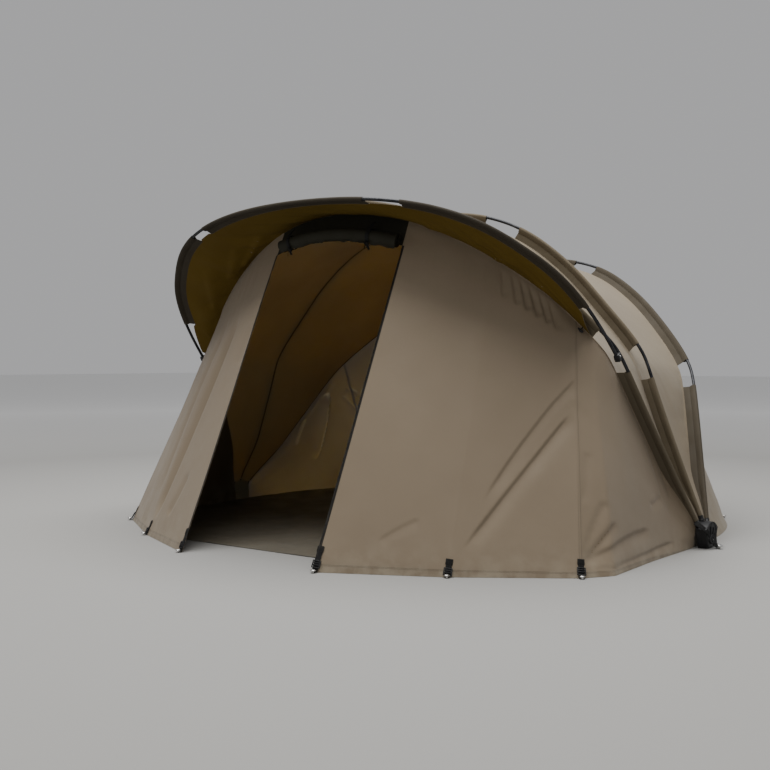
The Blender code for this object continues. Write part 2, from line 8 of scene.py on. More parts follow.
import bmesh
import bpy
import numpy as np
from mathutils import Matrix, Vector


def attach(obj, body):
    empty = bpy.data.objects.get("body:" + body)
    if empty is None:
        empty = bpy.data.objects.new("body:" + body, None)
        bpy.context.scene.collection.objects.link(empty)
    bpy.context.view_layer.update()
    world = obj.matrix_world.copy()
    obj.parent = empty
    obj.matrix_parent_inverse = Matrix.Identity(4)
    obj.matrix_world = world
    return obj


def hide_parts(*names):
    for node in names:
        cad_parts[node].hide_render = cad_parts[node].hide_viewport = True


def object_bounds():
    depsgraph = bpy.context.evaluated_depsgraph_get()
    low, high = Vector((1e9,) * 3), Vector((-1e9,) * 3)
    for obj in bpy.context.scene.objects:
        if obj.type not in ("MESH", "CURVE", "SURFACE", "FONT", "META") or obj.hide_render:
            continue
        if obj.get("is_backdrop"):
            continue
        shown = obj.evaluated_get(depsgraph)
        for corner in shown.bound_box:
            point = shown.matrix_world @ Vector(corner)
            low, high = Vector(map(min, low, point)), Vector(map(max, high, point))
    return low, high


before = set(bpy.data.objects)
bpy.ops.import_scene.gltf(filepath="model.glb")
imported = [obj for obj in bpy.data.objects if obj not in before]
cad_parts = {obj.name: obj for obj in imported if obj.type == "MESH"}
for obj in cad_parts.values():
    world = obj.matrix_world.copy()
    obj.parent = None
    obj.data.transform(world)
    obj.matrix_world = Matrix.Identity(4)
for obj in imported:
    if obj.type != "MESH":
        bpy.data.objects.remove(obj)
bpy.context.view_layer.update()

# Camera: low down, ahead of the doorway and to its right, with a lens that takes in the whole
# tent. Its place was worked out from where the ribs' feet and the pegs stand.
camera = bpy.data.objects.new("camera", bpy.data.cameras.new("camera"))
camera.location = (3.266, -5.037, 0.900)
camera.rotation_euler = (math.radians(88.73), 0.0, math.radians(35.76))
camera.data.lens = 49.1
camera.data.sensor_width = 36.0
bpy.context.scene.collection.objects.link(camera)
bpy.context.scene.camera = camera


# Studio: a plain pale floor and the soft light of an overcast day, from a broad source overhead,
# a weak one ahead of the doorway that reaches inside, and the sky's own glow all round.
class Recipe:
    """A Principled material and short ways to add noise, ramps, mixes and bumps to it."""

    def __init__(self, name, colour, roughness, metallic=0.0, specular=0.5):
        self.material = bpy.data.materials.new(name)
        self.material.use_nodes = True
        self.nodes = self.material.node_tree.nodes
        self.shader = self.nodes["Principled BSDF"]
        self.place = self.nodes.new("ShaderNodeTexCoord")
        self.normal = None
        self.set({"Base Color": colour, "Roughness": roughness, "Metallic": metallic,
                  "Specular IOR Level": specular})

    def set(self, inputs, node=None):
        """Give sockets of a node, or of the shader, a value or another node's output."""
        for socket in (node or self.shader).inputs:
            value = inputs.get(socket.identifier)
            if isinstance(value, bpy.types.NodeSocket):
                self.material.node_tree.links.new(value, socket)
            elif value is not None:
                socket.default_value = (*value, 1.0) if socket.type == "RGBA" else value

    def add(self, kind, output, inputs, **settings):
        """Add a node and give back one of its outputs."""
        made = self.nodes.new(f"ShaderNode{kind}")
        for label, value in settings.items():
            setattr(made, label, value)
        self.set(inputs, made)
        return next(s for s in made.outputs if s.identifier == output)

    def noise(self, scale, detail=3.0):
        """Soft random patches, so many to the metre."""
        return self.add("TexNoise", "Fac", {"Vector": self.place.outputs["Object"],
                                            "Scale": scale, "Detail": detail})

    def waves(self, direction, period, wander=0.0):
        """Ridges across the cloth or along it, a period apart."""
        return self.add("TexWave", "Fac", {
            "Vector": self.place.outputs["UV"], "Scale": math.pi / 10.0 / period,
            "Distortion": wander}, bands_direction=direction)

    def weave(self, along, across, wander=0.0):
        """Threads that cross, with a period for each direction."""
        return self.maths("MAXIMUM", self.waves("X", along, wander),
                          self.waves("Y", across, wander))

    def axis(self, letter, space="Object"):
        """One coordinate of the place on the surface."""
        return self.add("SeparateXYZ", letter, {"Vector": self.place.outputs[space]})

    def ranged(self, source, low, high, to_low=0.0, to_high=1.0):
        """A value stretched from one range to another, and held at its ends."""
        return self.add("MapRange", "Result", {"Value": source, "From Min": low, "From Max": high,
                                               "To Min": to_low, "To Max": to_high})

    def maths(self, operation, first, second):
        """Two values taken together."""
        return self.add("Math", "Value", {"Value": first, "Value_001": second},
                        operation=operation)

    def mixed(self, factor, first, second):
        """A colour between two others."""
        return self.add("Mix", "Result_Color", {"Factor_Float": factor, "A_Color": first,
                                                "B_Color": second}, data_type="RGBA")

    def mottled(self, first, second, scale, detail, low, high, most=1.0):
        """The first colour with patches of the second, where the noise is high."""
        return self.mixed(self.ranged(self.noise(scale, detail), low, high, 0.0, most), first,
                          second)

    def finish(self, colour, scale, smooth, rough, detail=3.0):
        """The shader's colour, and its roughness in patches between two values."""
        patches = self.ranged(self.noise(scale, detail), 0.3, 0.7, smooth, rough)
        self.set({"Base Color": colour, "Roughness": patches})

    def bump(self, height, strength, distance):
        """A relief on top of those that the material has already."""
        self.normal = self.add("Bump", "Normal", {"Strength": strength, "Distance": distance,
                                                  "Height": height, "Normal": self.normal})
        self.set({"Normal": self.normal})


def area_light(name, place, aim, size, power, colour):
    """A square lamp at a place, turned towards its aim."""
    lamp = bpy.data.lights.new(name, "AREA")
    lamp.size = size
    lamp.energy = power
    lamp.color = colour
    made = bpy.data.objects.new(name, lamp)
    made.location = place
    towards = np.array(aim) - np.array(place)
    flat = math.hypot(towards[0], towards[1])
    made.rotation_euler = (math.atan2(flat, -towards[2]), 0.0, math.atan2(-towards[0], towards[1]))
    bpy.context.scene.collection.objects.link(made)


# Further out, where less of the lamp's light reaches it, the floor is paler.
near_floor, far_floor = (0.31, 0.306, 0.296), (0.86, 0.86, 0.85)
floor_fade = (5.0, 14.0)
floor_half = 60.0
pale_floor = Recipe("pale_floor", near_floor, 0.9)
from_middle = pale_floor.add("VectorMath", "Value", {
    "Vector": pale_floor.place.outputs["Object"]}, operation="LENGTH")
pale_floor.set({"Base Color": pale_floor.mixed(
    pale_floor.ranged(from_middle, *floor_fade), near_floor, far_floor)})
floor_mesh = bpy.data.meshes.new("studio_floor")
floor_mesh.from_pydata([(-floor_half, -floor_half, 0.0), (floor_half, -floor_half, 0.0),
                        (floor_half, floor_half, 0.0), (-floor_half, floor_half, 0.0)],
                       [], [(0, 1, 2, 3)])
floor_mesh.materials.append(pale_floor.material)
studio_floor = bpy.data.objects.new("studio_floor", floor_mesh)
studio_floor.location = (0.0, 0.0, -0.001)
bpy.context.scene.collection.objects.link(studio_floor)
studio_floor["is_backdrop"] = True

world = bpy.data.worlds.new("overcast")
world.use_nodes = True
world.node_tree.nodes["Background"].inputs["Color"].default_value = (0.985, 0.985, 1.0, 1.0)
world.node_tree.nodes["Background"].inputs["Strength"].default_value = 0.43
bpy.context.scene.world = world
area_light("overhead", (0.0, -0.8, 7.5), (0.0, 0.0, 0.0), 7.0, 1060.0, (1.0, 0.99, 0.97))
area_light("ahead", (1.6, -7.5, 2.2), (-0.2, 0.0, 0.7), 3.0, 35.0, (1.0, 0.98, 0.95))


# Ribs: bent aluminium tubes, 16 mm thick and anodised black. Three fold on the hubs, and the porch
# rib turns on two knuckles half way up the front one. Each runs in the edge of a cloth fin.
def spline(pulls, steps=400):
    """Points along a clamped cubic curve that starts and ends at the first and last pull."""
    degree = 3
    spans = len(pulls) - degree
    knots = np.concatenate([np.zeros(degree), np.arange(spans + 1.0), np.full(degree, spans)])
    points = []
    for u in np.linspace(0.0, spans, steps + 1):
        first = min(int(u), spans - 1) + degree
        pull = [np.array(p, float) for p in pulls[first - degree:first + 1]]
        for level in range(1, degree + 1):
            for i in range(degree, level - 1, -1):
                low, high = knots[first - degree + i], knots[first + 1 + i - level]
                pull[i] = pull[i - 1] + (pull[i] - pull[i - 1]) * (u - low) / (high - low)
        points.append(pull[degree])
    return np.array(points)


def ease(value, low, high):
    """Smooth step from 0 at low to 1 at high."""
    part = np.clip((np.asarray(value, float) - low) / (high - low), 0.0, 1.0)
    return part * part * (3.0 - 2.0 * part)


def unit(vectors):
    """The vectors, each made one long."""
    return vectors / np.maximum(np.linalg.norm(vectors, axis=-1, keepdims=True), 1e-12)


def dot(first, second):
    """Scalar products of two sets of vectors, kept as a column."""
    return (first * second).sum(-1, keepdims=True)


def square_to(vectors, along):
    """Unit vectors, each turned the least that makes it square to a direction."""
    return unit(vectors - along * dot(vectors, along))


def facing_to(vectors, guide):
    """The vectors, each reversed where it points away from its guide."""
    return np.where(dot(vectors, guide) < 0.0, -vectors, vectors)


def run_of(points, axis=0):
    """Length reached at each point of a line, or of each line of a grid along an axis."""
    start = np.take(points, [0], axis)
    return np.cumsum(np.linalg.norm(np.diff(points, axis=axis, prepend=start), axis=-1), axis)


class Rib:
    """A rib from its right foot over the crown to its left foot, by share of that length."""

    fin = 0.058
    fin_at_foot = 0.0113
    fin_taper = 0.45
    pole_radius = 0.008

    def __init__(self, outline, lean, start, bow=(0.0, 1.0, 0.0), origin=(0.0, 0.0, 0.0)):
        drawn = spline(outline + [(0.0, outline[-1][1])])
        heading = unit(np.gradient(drawn, axis=0))
        swell = bow[2] * ease(run_of(drawn), bow[0], bow[1])
        curve = drawn + np.stack([heading[:, 1], -heading[:, 0]], 1) * swell[:, None]
        reach = run_of(curve)
        self.start, self.half = start, reach[-1]
        lengths = np.linspace(start, reach[-1], 401)
        flat = np.stack([np.interp(lengths, reach, curve[:, i]) for i in (0, 1)], 1)
        heading = unit(np.gradient(flat, axis=0))
        up = np.array([0.0, math.sin(math.radians(lean)), math.cos(math.radians(lean))])
        across = np.array([1.0, 0.0, 0.0])
        centre = np.array(origin) + flat[:, :1] * across + flat[:, 1:] * up
        along = heading[:, :1] * across + heading[:, 1:] * up
        inward = -heading[:, 1:] * across + heading[:, :1] * up
        depth = self.fin_at_foot + (self.fin - self.fin_at_foot) * ease(lengths, start,
                                                                       self.fin_taper)
        mirror = np.array([-1.0, 1.0, 1.0])
        self.shares = np.linspace(0.0, 1.0, 801)
        self.columns = {
            "centre": np.concatenate([centre, (centre * mirror)[-2::-1]]),
            "along": np.concatenate([along, (along * -mirror)[-2::-1]]),
            "drop": np.concatenate([inward, (inward * mirror)[-2::-1]]),
            "depth": np.concatenate([depth, depth[-2::-1]])[:, None],
        }
        self.columns["back"] = np.tile([0.0, up[2], -up[1]], (801, 1))

    def get(self, name, shares):
        """One of the rib's columns at the given shares."""
        table = self.columns[name]
        return np.stack([np.interp(shares, self.shares, table[:, i])
                         for i in range(table.shape[1])], -1)

    def seam(self, shares):
        """Where the fin is sewn to the canopy."""
        return self.get("centre", shares) + self.get("drop", shares) * self.get("depth", shares)

    def share(self, length):
        """The share at a length from the right foot, which the drawings give from the hub."""
        return (length - self.start) / (2.0 * (self.half - self.start))


pivot_height = 0.036
front_lean = -28.5
front_rib = Rib([(1.564, pivot_height), (1.356, 0.900), (1.351, 1.118), (1.133, 1.294),
                 (0.848, 1.590), (0.336, 1.874)], front_lean, 0.0948, bow=(1.12, 1.50, 0.048))
middle_rib = Rib([(1.577, pivot_height), (1.284, 0.784), (1.285, 0.927), (1.047, 1.180),
                  (0.785, 1.496), (0.378, 1.729)], -1.0, 0.0998)
rear_rib = Rib([(1.567, pivot_height), (1.311, 0.932), (1.267, 1.087), (1.031, 1.385),
                (0.749, 1.698), (0.380, 1.934)], 36.0, 0.0964)
ground_ribs = {"front": front_rib, "middle": middle_rib, "rear": rear_rib}

# The cloth of a rib is matched at stations, 0 to 32 from foot over crown to foot. The sleeves' gaps
# are lengths from the hub: where the one at the side and the one near the crown start and end.
last_place = 32.0
every_station = np.arange(33.0)
sleeve_gaps = {"front": (0.96, 1.20, 2.13, 2.285), "middle": (0.836, 1.022, 1.937, 2.157),
               "rear": (0.955, 1.141, 2.171, 2.340)}


def station_shares(rib, lengths):
    """Shares of a rib's stations, given the lengths of those on its right half."""
    right = rib.share(np.array(lengths + [rib.half]))
    return np.concatenate([right, 1.0 - right[-2::-1]])


def even(low, high, count):
    """Evenly spaced lengths from low up to, and without, high."""
    return [low + (high - low) * i / count for i in range(count)]


def ground_stations(rib, gaps, seam):
    """The stations of a rib on the hubs: five to its side gap, two across it, and so on."""
    side_low, side_high, top_low, top_high = gaps
    lengths = even(rib.start, side_low, 5) + even(side_low, side_high, 2) + [side_high]
    lengths += even(seam, top_low, 5) + [top_low, top_high, 0.5 * (top_high + rib.half)]
    return station_shares(rib, lengths)


front_places = ground_stations(front_rib, sleeve_gaps["front"], 1.30)
rear_places = ground_stations(rear_rib, sleeve_gaps["rear"], 1.141 + 1.03 / 6.0)

# The porch rib starts at its hinges, ahead of the front rib. Its fin follows the porch cloth, so
# it points at the place on the front rib where that thread of the cloth is sewn.
hinge_length = 1.06
hinge_reach = 0.030
hinge = front_rib.get("centre", np.array([front_rib.share(hinge_length)]))[0]
front_turn = math.radians(front_lean)
ahead = np.array([0.0, -math.cos(front_turn), math.sin(front_turn)])
porch_origin = np.array([0.0, hinge[1], hinge[2]]) + ahead * hinge_reach
porch_rib = Rib([(hinge[0], 0.0), (1.282, 0.389), (1.097, 0.640), (0.840, 0.894),
                 (0.372, 1.002)], -43.0, 0.0128, origin=porch_origin)
porch_side_gap, porch_top_gap = (1.062, 1.177), (1.307, 1.499)
porch_places = station_shares(porch_rib, [0.27, 0.50, 0.75, 0.95, *porch_side_gap, *porch_top_gap,
                                          1.69])
porch_first, porch_last = 7, 25
porch_droop = 0.25
partner = np.interp(porch_rib.shares, porch_places, front_places[porch_first:porch_last + 1])
towards = unit(front_rib.seam(partner) - porch_rib.columns["centre"])
towards = towards + porch_rib.columns["drop"] * porch_droop
porch_rib.columns["drop"] = square_to(towards, unit(porch_rib.columns["along"]))
porch_rib.columns["depth"][:] = Rib.fin


def join_rings(rings, closed_ends=True):
    """Vertices and faces of a skin through rings of equal count."""
    rings = np.asarray(rings)
    rows, count = rings.shape[:2]
    index = np.arange(rows * count).reshape(rows, count)
    after = np.roll(index, -1, axis=1)
    faces = np.stack([index[:-1], after[:-1], after[1:], index[1:]], -1).reshape(-1, 4).tolist()
    if closed_ends:
        faces.append(list(range(count - 1, -1, -1)))
        faces.append(list(range((rows - 1) * count, rows * count)))
    return rings.reshape(-1, 3), faces


def round_rings(line, first, second, sides, wide, high):
    """Rings round a line, so wide along the first direction and so high along the second."""
    angles = np.linspace(0.0, 2.0 * math.pi, sides, endpoint=False)[:, None]
    return (line[:, None] + np.atleast_2d(first)[:, None] * np.reshape(wide, (-1, 1, 1))
            * np.cos(angles) + np.atleast_2d(second)[:, None] * np.reshape(high, (-1, 1, 1))
            * np.sin(angles))


def piece(name, vertices, faces, finishes, slot, replaced=(), sharp=40.0, uvs=None):
    """A named mesh piece that rides on the tent's body and stands for the given solids."""
    mesh = bpy.data.meshes.new(name)
    vertices = np.array(vertices)
    vertices[:, 2] = np.maximum(vertices[:, 2], 0.0)
    mesh.from_pydata(vertices.tolist(), [], faces)
    if uvs is not None:
        layer = mesh.uv_layers.new(name="metres")
        corner = np.empty(len(mesh.loops), np.int64)
        mesh.loops.foreach_get("vertex_index", corner)
        layer.data.foreach_set("uv", np.asarray(uvs, np.float32)[corner].ravel())
    maker = bmesh.new()
    maker.from_mesh(mesh)
    bmesh.ops.recalc_face_normals(maker, faces=maker.faces)
    maker.to_mesh(mesh)
    maker.free()
    mesh.shade_smooth()
    mesh.set_sharp_from_angle(angle=math.radians(sharp))
    for each in finishes:
        mesh.materials.append(each)
    made = bpy.data.objects.new(name, mesh)
    bpy.context.scene.collection.objects.link(made)
    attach(made, "root")
    if replaced:
        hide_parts(*replaced)
    return made


black_tube = Recipe("anodised_pole", (0.020, 0.021, 0.024), 0.35, 0.6)
black_tube.finish(black_tube.mottled((0.014, 0.015, 0.018), (0.060, 0.061, 0.066), 22.0, 6.0,
                                     0.45, 0.80), 22.0, 0.34, 0.50, 6.0)
black_tube.bump(black_tube.noise(30.0, 2.0), 0.05, 0.0002)


def frame_of(rib, shares):
    """Centre, outward, sideways and along directions of a rib at shares of its length."""
    along = unit(rib.get("along", shares))
    out = square_to(-rib.get("drop", shares), along)
    return rib.get("centre", shares), out, np.cross(along, out), along


pole_sides = 20
pole_step = 0.016
for rib_name, rib in [*ground_ribs.items(), ("porch", porch_rib)]:
    shares = np.linspace(0.0, 1.0, int(2.0 * (rib.half - rib.start) / pole_step))
    centre, out, side, _ = frame_of(rib, shares)
    rings = round_rings(centre, out, side, pole_sides, Rib.pole_radius, Rib.pole_radius)
    piece(f"{rib_name}_tube", *join_rings(rings), [black_tube.material], "pole",
          [f"{rib_name}_pole"])


# Canopy: coated woven nylon, stretched over the ribs and sewn to their fins. It comes down to the
# ground between the feet of the ribs, and each bay pulls in a little between its two ribs.
def lattice(u, v, seed):
    """Smooth noise from -1 to 1 with one random value for each whole step of u and v."""
    table = np.random.default_rng(seed).uniform(-1.0, 1.0, (64, 64))
    u, v = np.broadcast_arrays(u, v)
    low_u, low_v = np.floor(u).astype(int), np.floor(v).astype(int)
    part_u, part_v = u - low_u, v - low_v
    part_u = part_u ** 3 * (part_u * (part_u * 6.0 - 15.0) + 10.0)
    part_v = part_v ** 3 * (part_v * (part_v * 6.0 - 15.0) + 10.0)
    total = 0.0
    for du, weight_u in ((0, 1.0 - part_u), (1, part_u)):
        for dv, weight_v in ((0, 1.0 - part_v), (1, part_v)):
            total = total + table[(low_u + du) % 64, (low_v + dv) % 64] * weight_u * weight_v
    return total


def rumple(u, v, seed):
    """Lattice noise with a second, finer layer."""
    return lattice(u, v, seed) + 0.45 * lattice(2.1 * u + 7.3, 2.1 * v + 3.1, seed + 1)


def fabric(name, colour, shade, roughness, dust=(0.30, 0.26, 0.19), dusty=0.35, thread=0.0011,
           sheen=0.12, slack=0.35, rows=(), through=0.0, specular=0.28):
    """Coated woven cloth: thread by thread bump, uneven dye, handling marks and dusty hems.

    A row of stitches runs lengthwise at each of the given distances across. A lining lets some
    daylight through.
    """
    made = Recipe(name, colour, roughness, specular=specular)
    made.set({"Sheen Weight": sheen, "Sheen Roughness": 0.5})
    if through:
        made.set({"Subsurface Weight": through, "Subsurface Radius": (1.0, 0.84, 0.50),
                  "Subsurface Scale": 0.004})
    dyed = made.mottled(colour, shade, 1.7, 3.0, 0.30, 0.70)
    flecked = made.mottled(dyed, shade, 240.0, 2.0, 0.35, 0.75, 0.30)
    low_down = made.ranged(made.axis("Z"), 0.0, 0.16, dusty, 0.0)
    patches = made.ranged(made.noise(14.0, 5.0), 0.40, 0.62)
    worn = made.mixed(made.maths("MULTIPLY", low_down, patches), flecked, dust)
    stitched = None
    for row in rows:
        off = made.maths("ABSOLUTE", made.maths("SUBTRACT", made.axis("Y", "UV"), row), 0.0)
        dashes = made.maths("MULTIPLY", made.ranged(off, 0.0005, 0.0009, 1.0, 0.0),
                            made.ranged(made.waves("X", 0.0052), 0.30, 0.45))
        stitched = made.maths("ADD", stitched, dashes) if stitched else dashes
    if stitched:
        worn = made.mixed(stitched, worn, tuple(0.45 * c for c in shade))
    made.finish(worn, 9.0, roughness - 0.07, roughness + 0.07)
    made.bump(made.weave(thread, thread, 0.4), 0.25, 0.0003)
    made.bump(made.noise(11.0), slack, 0.004)
    if stitched:
        made.bump(stitched, 0.8, 0.0007)
    return made.material


def cloth(name, grid, outward, finishes, replaced,
          slot="cloth", thickness=0.0012):
    """A closed thin sheet with its outer face on the grid and its inner face just behind."""
    grid = np.asarray(grid)
    rows, columns = grid.shape[:2]
    normals = unit(np.cross(np.gradient(grid, axis=0), np.gradient(grid, axis=1)))
    normals *= np.sign((normals * outward).sum(-1).mean())
    index = np.arange(rows * columns).reshape(rows, columns)
    quads = np.stack([index[:-1, :-1], index[:-1, 1:], index[1:, 1:], index[1:, :-1]], -1)
    quads = quads.reshape(-1, 4)
    border = np.concatenate([index[0, :-1], index[:-1, -1], index[-1, :0:-1], index[:0:-1, 0]])
    after = np.roll(border, -1)
    under = rows * columns
    rim = np.stack([border, after, after + under, border + under], -1)
    faces = quads.tolist() + (quads[:, ::-1] + under).tolist() + rim.tolist()
    uvs = np.stack([run_of(grid, 0).ravel(), run_of(grid, 1).ravel()], 1)
    vertices = np.concatenate([grid.reshape(-1, 3), (grid - normals * thickness).reshape(-1, 3)])
    made = piece(name, vertices, faces, finishes, slot, replaced, sharp=50.0,
                 uvs=np.concatenate([uvs, uvs]))
    if len(finishes) > 1:
        lining = np.zeros(len(faces), np.int32)
        lining[len(quads):2 * len(quads)] = 1
        made.data.polygons.foreach_set("material_index", lining)


def under_pole(rib, shares, away):
    """Inward direction to a cloth that leaves a rib the given way, clear of the pole."""
    drop, back = rib.get("drop", shares), rib.get("back", shares)
    square = facing_to(unit(np.cross(away, rib.get("along", shares))), drop)
    return np.where(dot(square, back) * dot(away, back) < 0.0, drop, square)


def bay_grid(front, rear, front_shares, rear_shares, across, sag):
    """Points and inward directions of the cloth between two ribs."""
    start, end = front.seam(front_shares), rear.seam(rear_shares)
    chord = end - start
    part = across[None, :, None]
    inward = unit(under_pole(front, front_shares, chord)[:, None] * (1.0 - part)
                  + under_pole(rear, rear_shares, -chord)[:, None] * part)
    depth = sag * np.linalg.norm(chord, axis=1)[:, None, None] * 4.0 * part * (1.0 - part)
    return start[:, None] + chord[:, None] * part + inward * depth, inward


def to_ground(first_row, foot_x, foot_y, rows=8):
    """Rows that lead from the ground inside a hub up to the first row of a bay."""
    part = np.linspace(0.0, 1.0, len(first_row))
    ground = np.stack([np.full_like(part, foot_x), foot_y[0] + (foot_y[1] - foot_y[0]) * part,
                       np.zeros_like(part)], -1)
    rise = np.linspace(0.0, 1.0, rows, endpoint=False)[:, None, None]
    return ground[None] + (first_row - ground)[None] * rise


canopy_sag = 0.024
canopy_foot = 1.515
canopy_cloth = fabric("canopy_cloth", (0.238, 0.195, 0.136), (0.208, 0.168, 0.114), 0.60)
canopy_lining = fabric("canopy_lining", (0.34, 0.300, 0.205), (0.28, 0.245, 0.160), 0.62,
                       dusty=0.0, through=0.42)
bays = {
    "front_bay": (front_rib, middle_rib, (-0.0615, -0.0005), 54, (0.72, 5.4), 21),
    "rear_bay": (middle_rib, rear_rib, (0.0005, 0.0615), 68, (0.95, 5.4), 31),
}
bay_shares = np.linspace(0.0, 1.0, 350)
for bay_name, (front, rear, foot_y, columns, flat, seed) in bays.items():
    crosswise = np.linspace(0.0, 1.0, columns)
    points, inward = bay_grid(front, rear, bay_shares, bay_shares, crosswise, canopy_sag)
    reach = 2.0 * (front.half - front.start)
    lengthwise = bay_shares[:, None] * reach
    near_ribs = np.exp(-crosswise / 0.09) + np.exp(-(1.0 - crosswise) / 0.09)
    fixed = ease(crosswise, 0.0, 0.03) * ease(1.0 - crosswise, 0.0, 0.03)
    fixed = fixed * ease(lengthwise, 0.15, 0.5) * ease(reach - lengthwise, 0.15, 0.5)
    ripple = rumple(lengthwise / 0.055, crosswise * 1.3, seed) * near_ribs * 0.0022
    broad = rumple(lengthwise / 0.42, crosswise * 1.7, seed + 5) * 0.0055
    slant = rumple((lengthwise + 0.9 * crosswise) / 0.12, crosswise * 0.8, seed + 9) * 0.0012
    points = points + inward * ((ripple + broad + slant) * fixed)[..., None]
    right = to_ground(points[0], canopy_foot, foot_y)
    left = to_ground(points[-1], -canopy_foot, foot_y)[::-1]
    outward = -np.concatenate([np.repeat(inward[:1], len(right), 0), inward,
                               np.repeat(inward[-1:], len(left), 0)])
    cloth(f"{bay_name}_cloth", np.concatenate([right, points, left]), outward,
          [canopy_cloth, canopy_lining],
          [f"{bay_name}_roof", f"{bay_name}_wall_left", f"{bay_name}_wall_right"])


# Pole sleeves: two layers of cloth, closed round the pole and stitched together below it, whose
# flat part is sewn to the canopy. They are cut away where the poles are gripped. Their cloth is
# painted much darker than the canopy's, as painted shade on the fins' sides, and each rib's copy
# is scaled by a factor of painted light and shade: lighter for the front and middle, darker for
# the rear and darkest for the porch's sleeve, which is seen against the light from below.
sleeve_painted_light = {"front": 1.12, "middle": 1.35, "rear": 0.62, "porch": 0.42}
sleeve_finishes = {}
for rib_name, tone in sleeve_painted_light.items():
    sleeve_finishes[rib_name] = fabric(
        f"{rib_name}_sleeve_cloth", tuple(tone * c for c in (0.098, 0.080, 0.053)),
        tuple(tone * c for c in (0.080, 0.064, 0.041)), 0.80, dusty=0.25, slack=0.5, sheen=0.0,
        rows=(0.0,))
sleeve_radius, sleeve_cloth = 0.0100, 0.0009
stitch_depth = 0.0245
seam_overlap = 0.0003
seam_flare = 0.007
wrap_turn = 118.0


def fin_profile(depth, layer):
    """Outline of a sleeve's section: (down from the pole, sideways), for one fin depth."""
    stitch = min(stitch_depth, 0.62 * depth)
    middle = 0.5 * (depth + stitch)
    cheek = (0.5 * (stitch + sleeve_radius), 0.62 * sleeve_radius - layer)
    if layer:
        half = [(stitch - 0.0032 - 0.0004 * i, 0.0003) for i in range(6)] + [cheek]
    else:
        half = [(depth + seam_overlap, 0.0007), (middle + 0.004, 0.0008),
                (middle - 0.004, 0.0010), (stitch + 0.0025, 0.0011), (stitch, 0.0007),
                (stitch - 0.003, 0.0022), cheek]
    radius = sleeve_radius - layer
    wrap = [(-radius * math.cos(t), -radius * math.sin(t))
            for t in np.radians(np.linspace(-wrap_turn, wrap_turn, 13))]
    return np.array(half + wrap + [(down, -side) for down, side in half[::-1]])


def fin(name, rib, low, high, solid, seed):
    """A length of sleeve between two lengths along a rib, measured from its right foot."""
    steps = max(int((high - low) / 0.017), 12)
    lengths = np.linspace(low, high, steps)
    centre, out, side, along = frame_of(rib, rib.share(lengths))
    depth = rib.get("depth", rib.share(lengths))[:, None]
    ends = np.minimum(lengths - low, high - lengths)
    wobble = rumple(lengths / 0.07, 0.0, seed) * 0.0016 * ease(ends, 0.0, 0.05)
    flare = np.zeros((steps, 1, 1))
    flare[0], flare[-1] = -seam_flare, seam_flare
    rings = []
    for layer in (0.0, sleeve_cloth):
        grid = np.stack([fin_profile(each, layer) for each in depth.ravel()])
        down, across = grid[..., :1], grid[..., 1:]
        belly = np.sin(math.pi * np.clip(down / depth, 0.0, 1.0))
        near_seam = np.clip(1.0 - (depth - down) / 0.011, 0.0, 1.0) ** 2
        rings.append(centre[:, None] - out[:, None] * down
                     + side[:, None] * (across + belly * wobble[:, None, None])
                     + along[:, None] * near_seam * flare)
    count = rings[0].shape[1]
    total = steps * count
    faces = join_rings(rings[0], False)[1]
    faces += [[v + total for v in face[::-1]] for face in faces]
    for row in (0, total - count):
        for i in range(count):
            after = (i + 1) % count
            faces.append([row + i, row + after, row + after + total, row + i + total])
    around = run_of(rings[0], 1)
    stitch = 4
    across = np.minimum(around - around[:, stitch, None], around[:, -1 - stitch, None] - around)
    uvs = np.stack([np.repeat(lengths, count), across.ravel()], 1)
    rib_name = name.split("_")[0]
    made = piece(name, np.concatenate(rings).reshape(-1, 3), faces, [sleeve_finishes[rib_name]],
                 "sleeve", [solid], sharp=60.0, uvs=np.concatenate([uvs, uvs]))


for rib_name, (side_low, side_high, top_low, top_high) in sleeve_gaps.items():
    rib = ground_ribs[rib_name]
    whole = 2.0 * rib.half
    foot = rib.start + 0.15 * (side_low - rib.start) / 5.0
    runs = {"leg_right": (foot, side_low), "shoulder_right": (side_high, top_low),
            "crown": (top_high, whole - top_high),
            "shoulder_left": (whole - top_low, whole - side_high),
            "leg_left": (whole - side_low, whole - foot)}
    for number, (label, (low, high)) in enumerate(runs.items()):
        fin(f"{rib_name}_fin_{label}", rib, low, high, f"{rib_name}_sleeve_{label}", 40 + number)


# Porch: a shallow hood of the same cloth from the porch rib back to the front rib. Its own sleeve
# lies in line with the cloth. Seen from below it shows the coated side, with a few tension folds;
# that side is painted a dark, deep amber as painted shade under the hood and painted daylight
# coming through the cloth.
def crease(points, outward, line, depth, width, lean=0.6):
    """How far a tuck along a line pushes each point in: steep on one side, gentle on the other."""
    line = np.array(line)
    lengths = run_of(line)
    nearest = np.full(points.shape[:2], 1e9)
    signed, reached = np.zeros(points.shape[:2]), np.zeros(points.shape[:2])
    for first, second, begun in zip(line, line[1:], lengths):
        step = second - first
        length = np.linalg.norm(step)
        part = np.clip(((points - first) @ step) / length ** 2, 0.0, 1.0)
        offset = points - first - part[..., None] * step
        distance = np.linalg.norm(offset, axis=2)
        closer = distance < nearest
        side = (np.cross(step / length, offset) * outward).sum(2)
        nearest = np.where(closer, distance, nearest)
        signed = np.where(closer, np.where(side < 0.0, -distance, distance), signed)
        reached = np.where(closer, (begun + part * length) / lengths[-1], reached)
    fading = ease(reached, 0.0, 0.12) * ease(1.0 - reached, 0.0, 0.20)
    spread = np.where(signed > 0.0, width * (1.0 + 4.0 * lean), width)
    return -depth * np.exp(-(signed / spread) ** 2) * fading


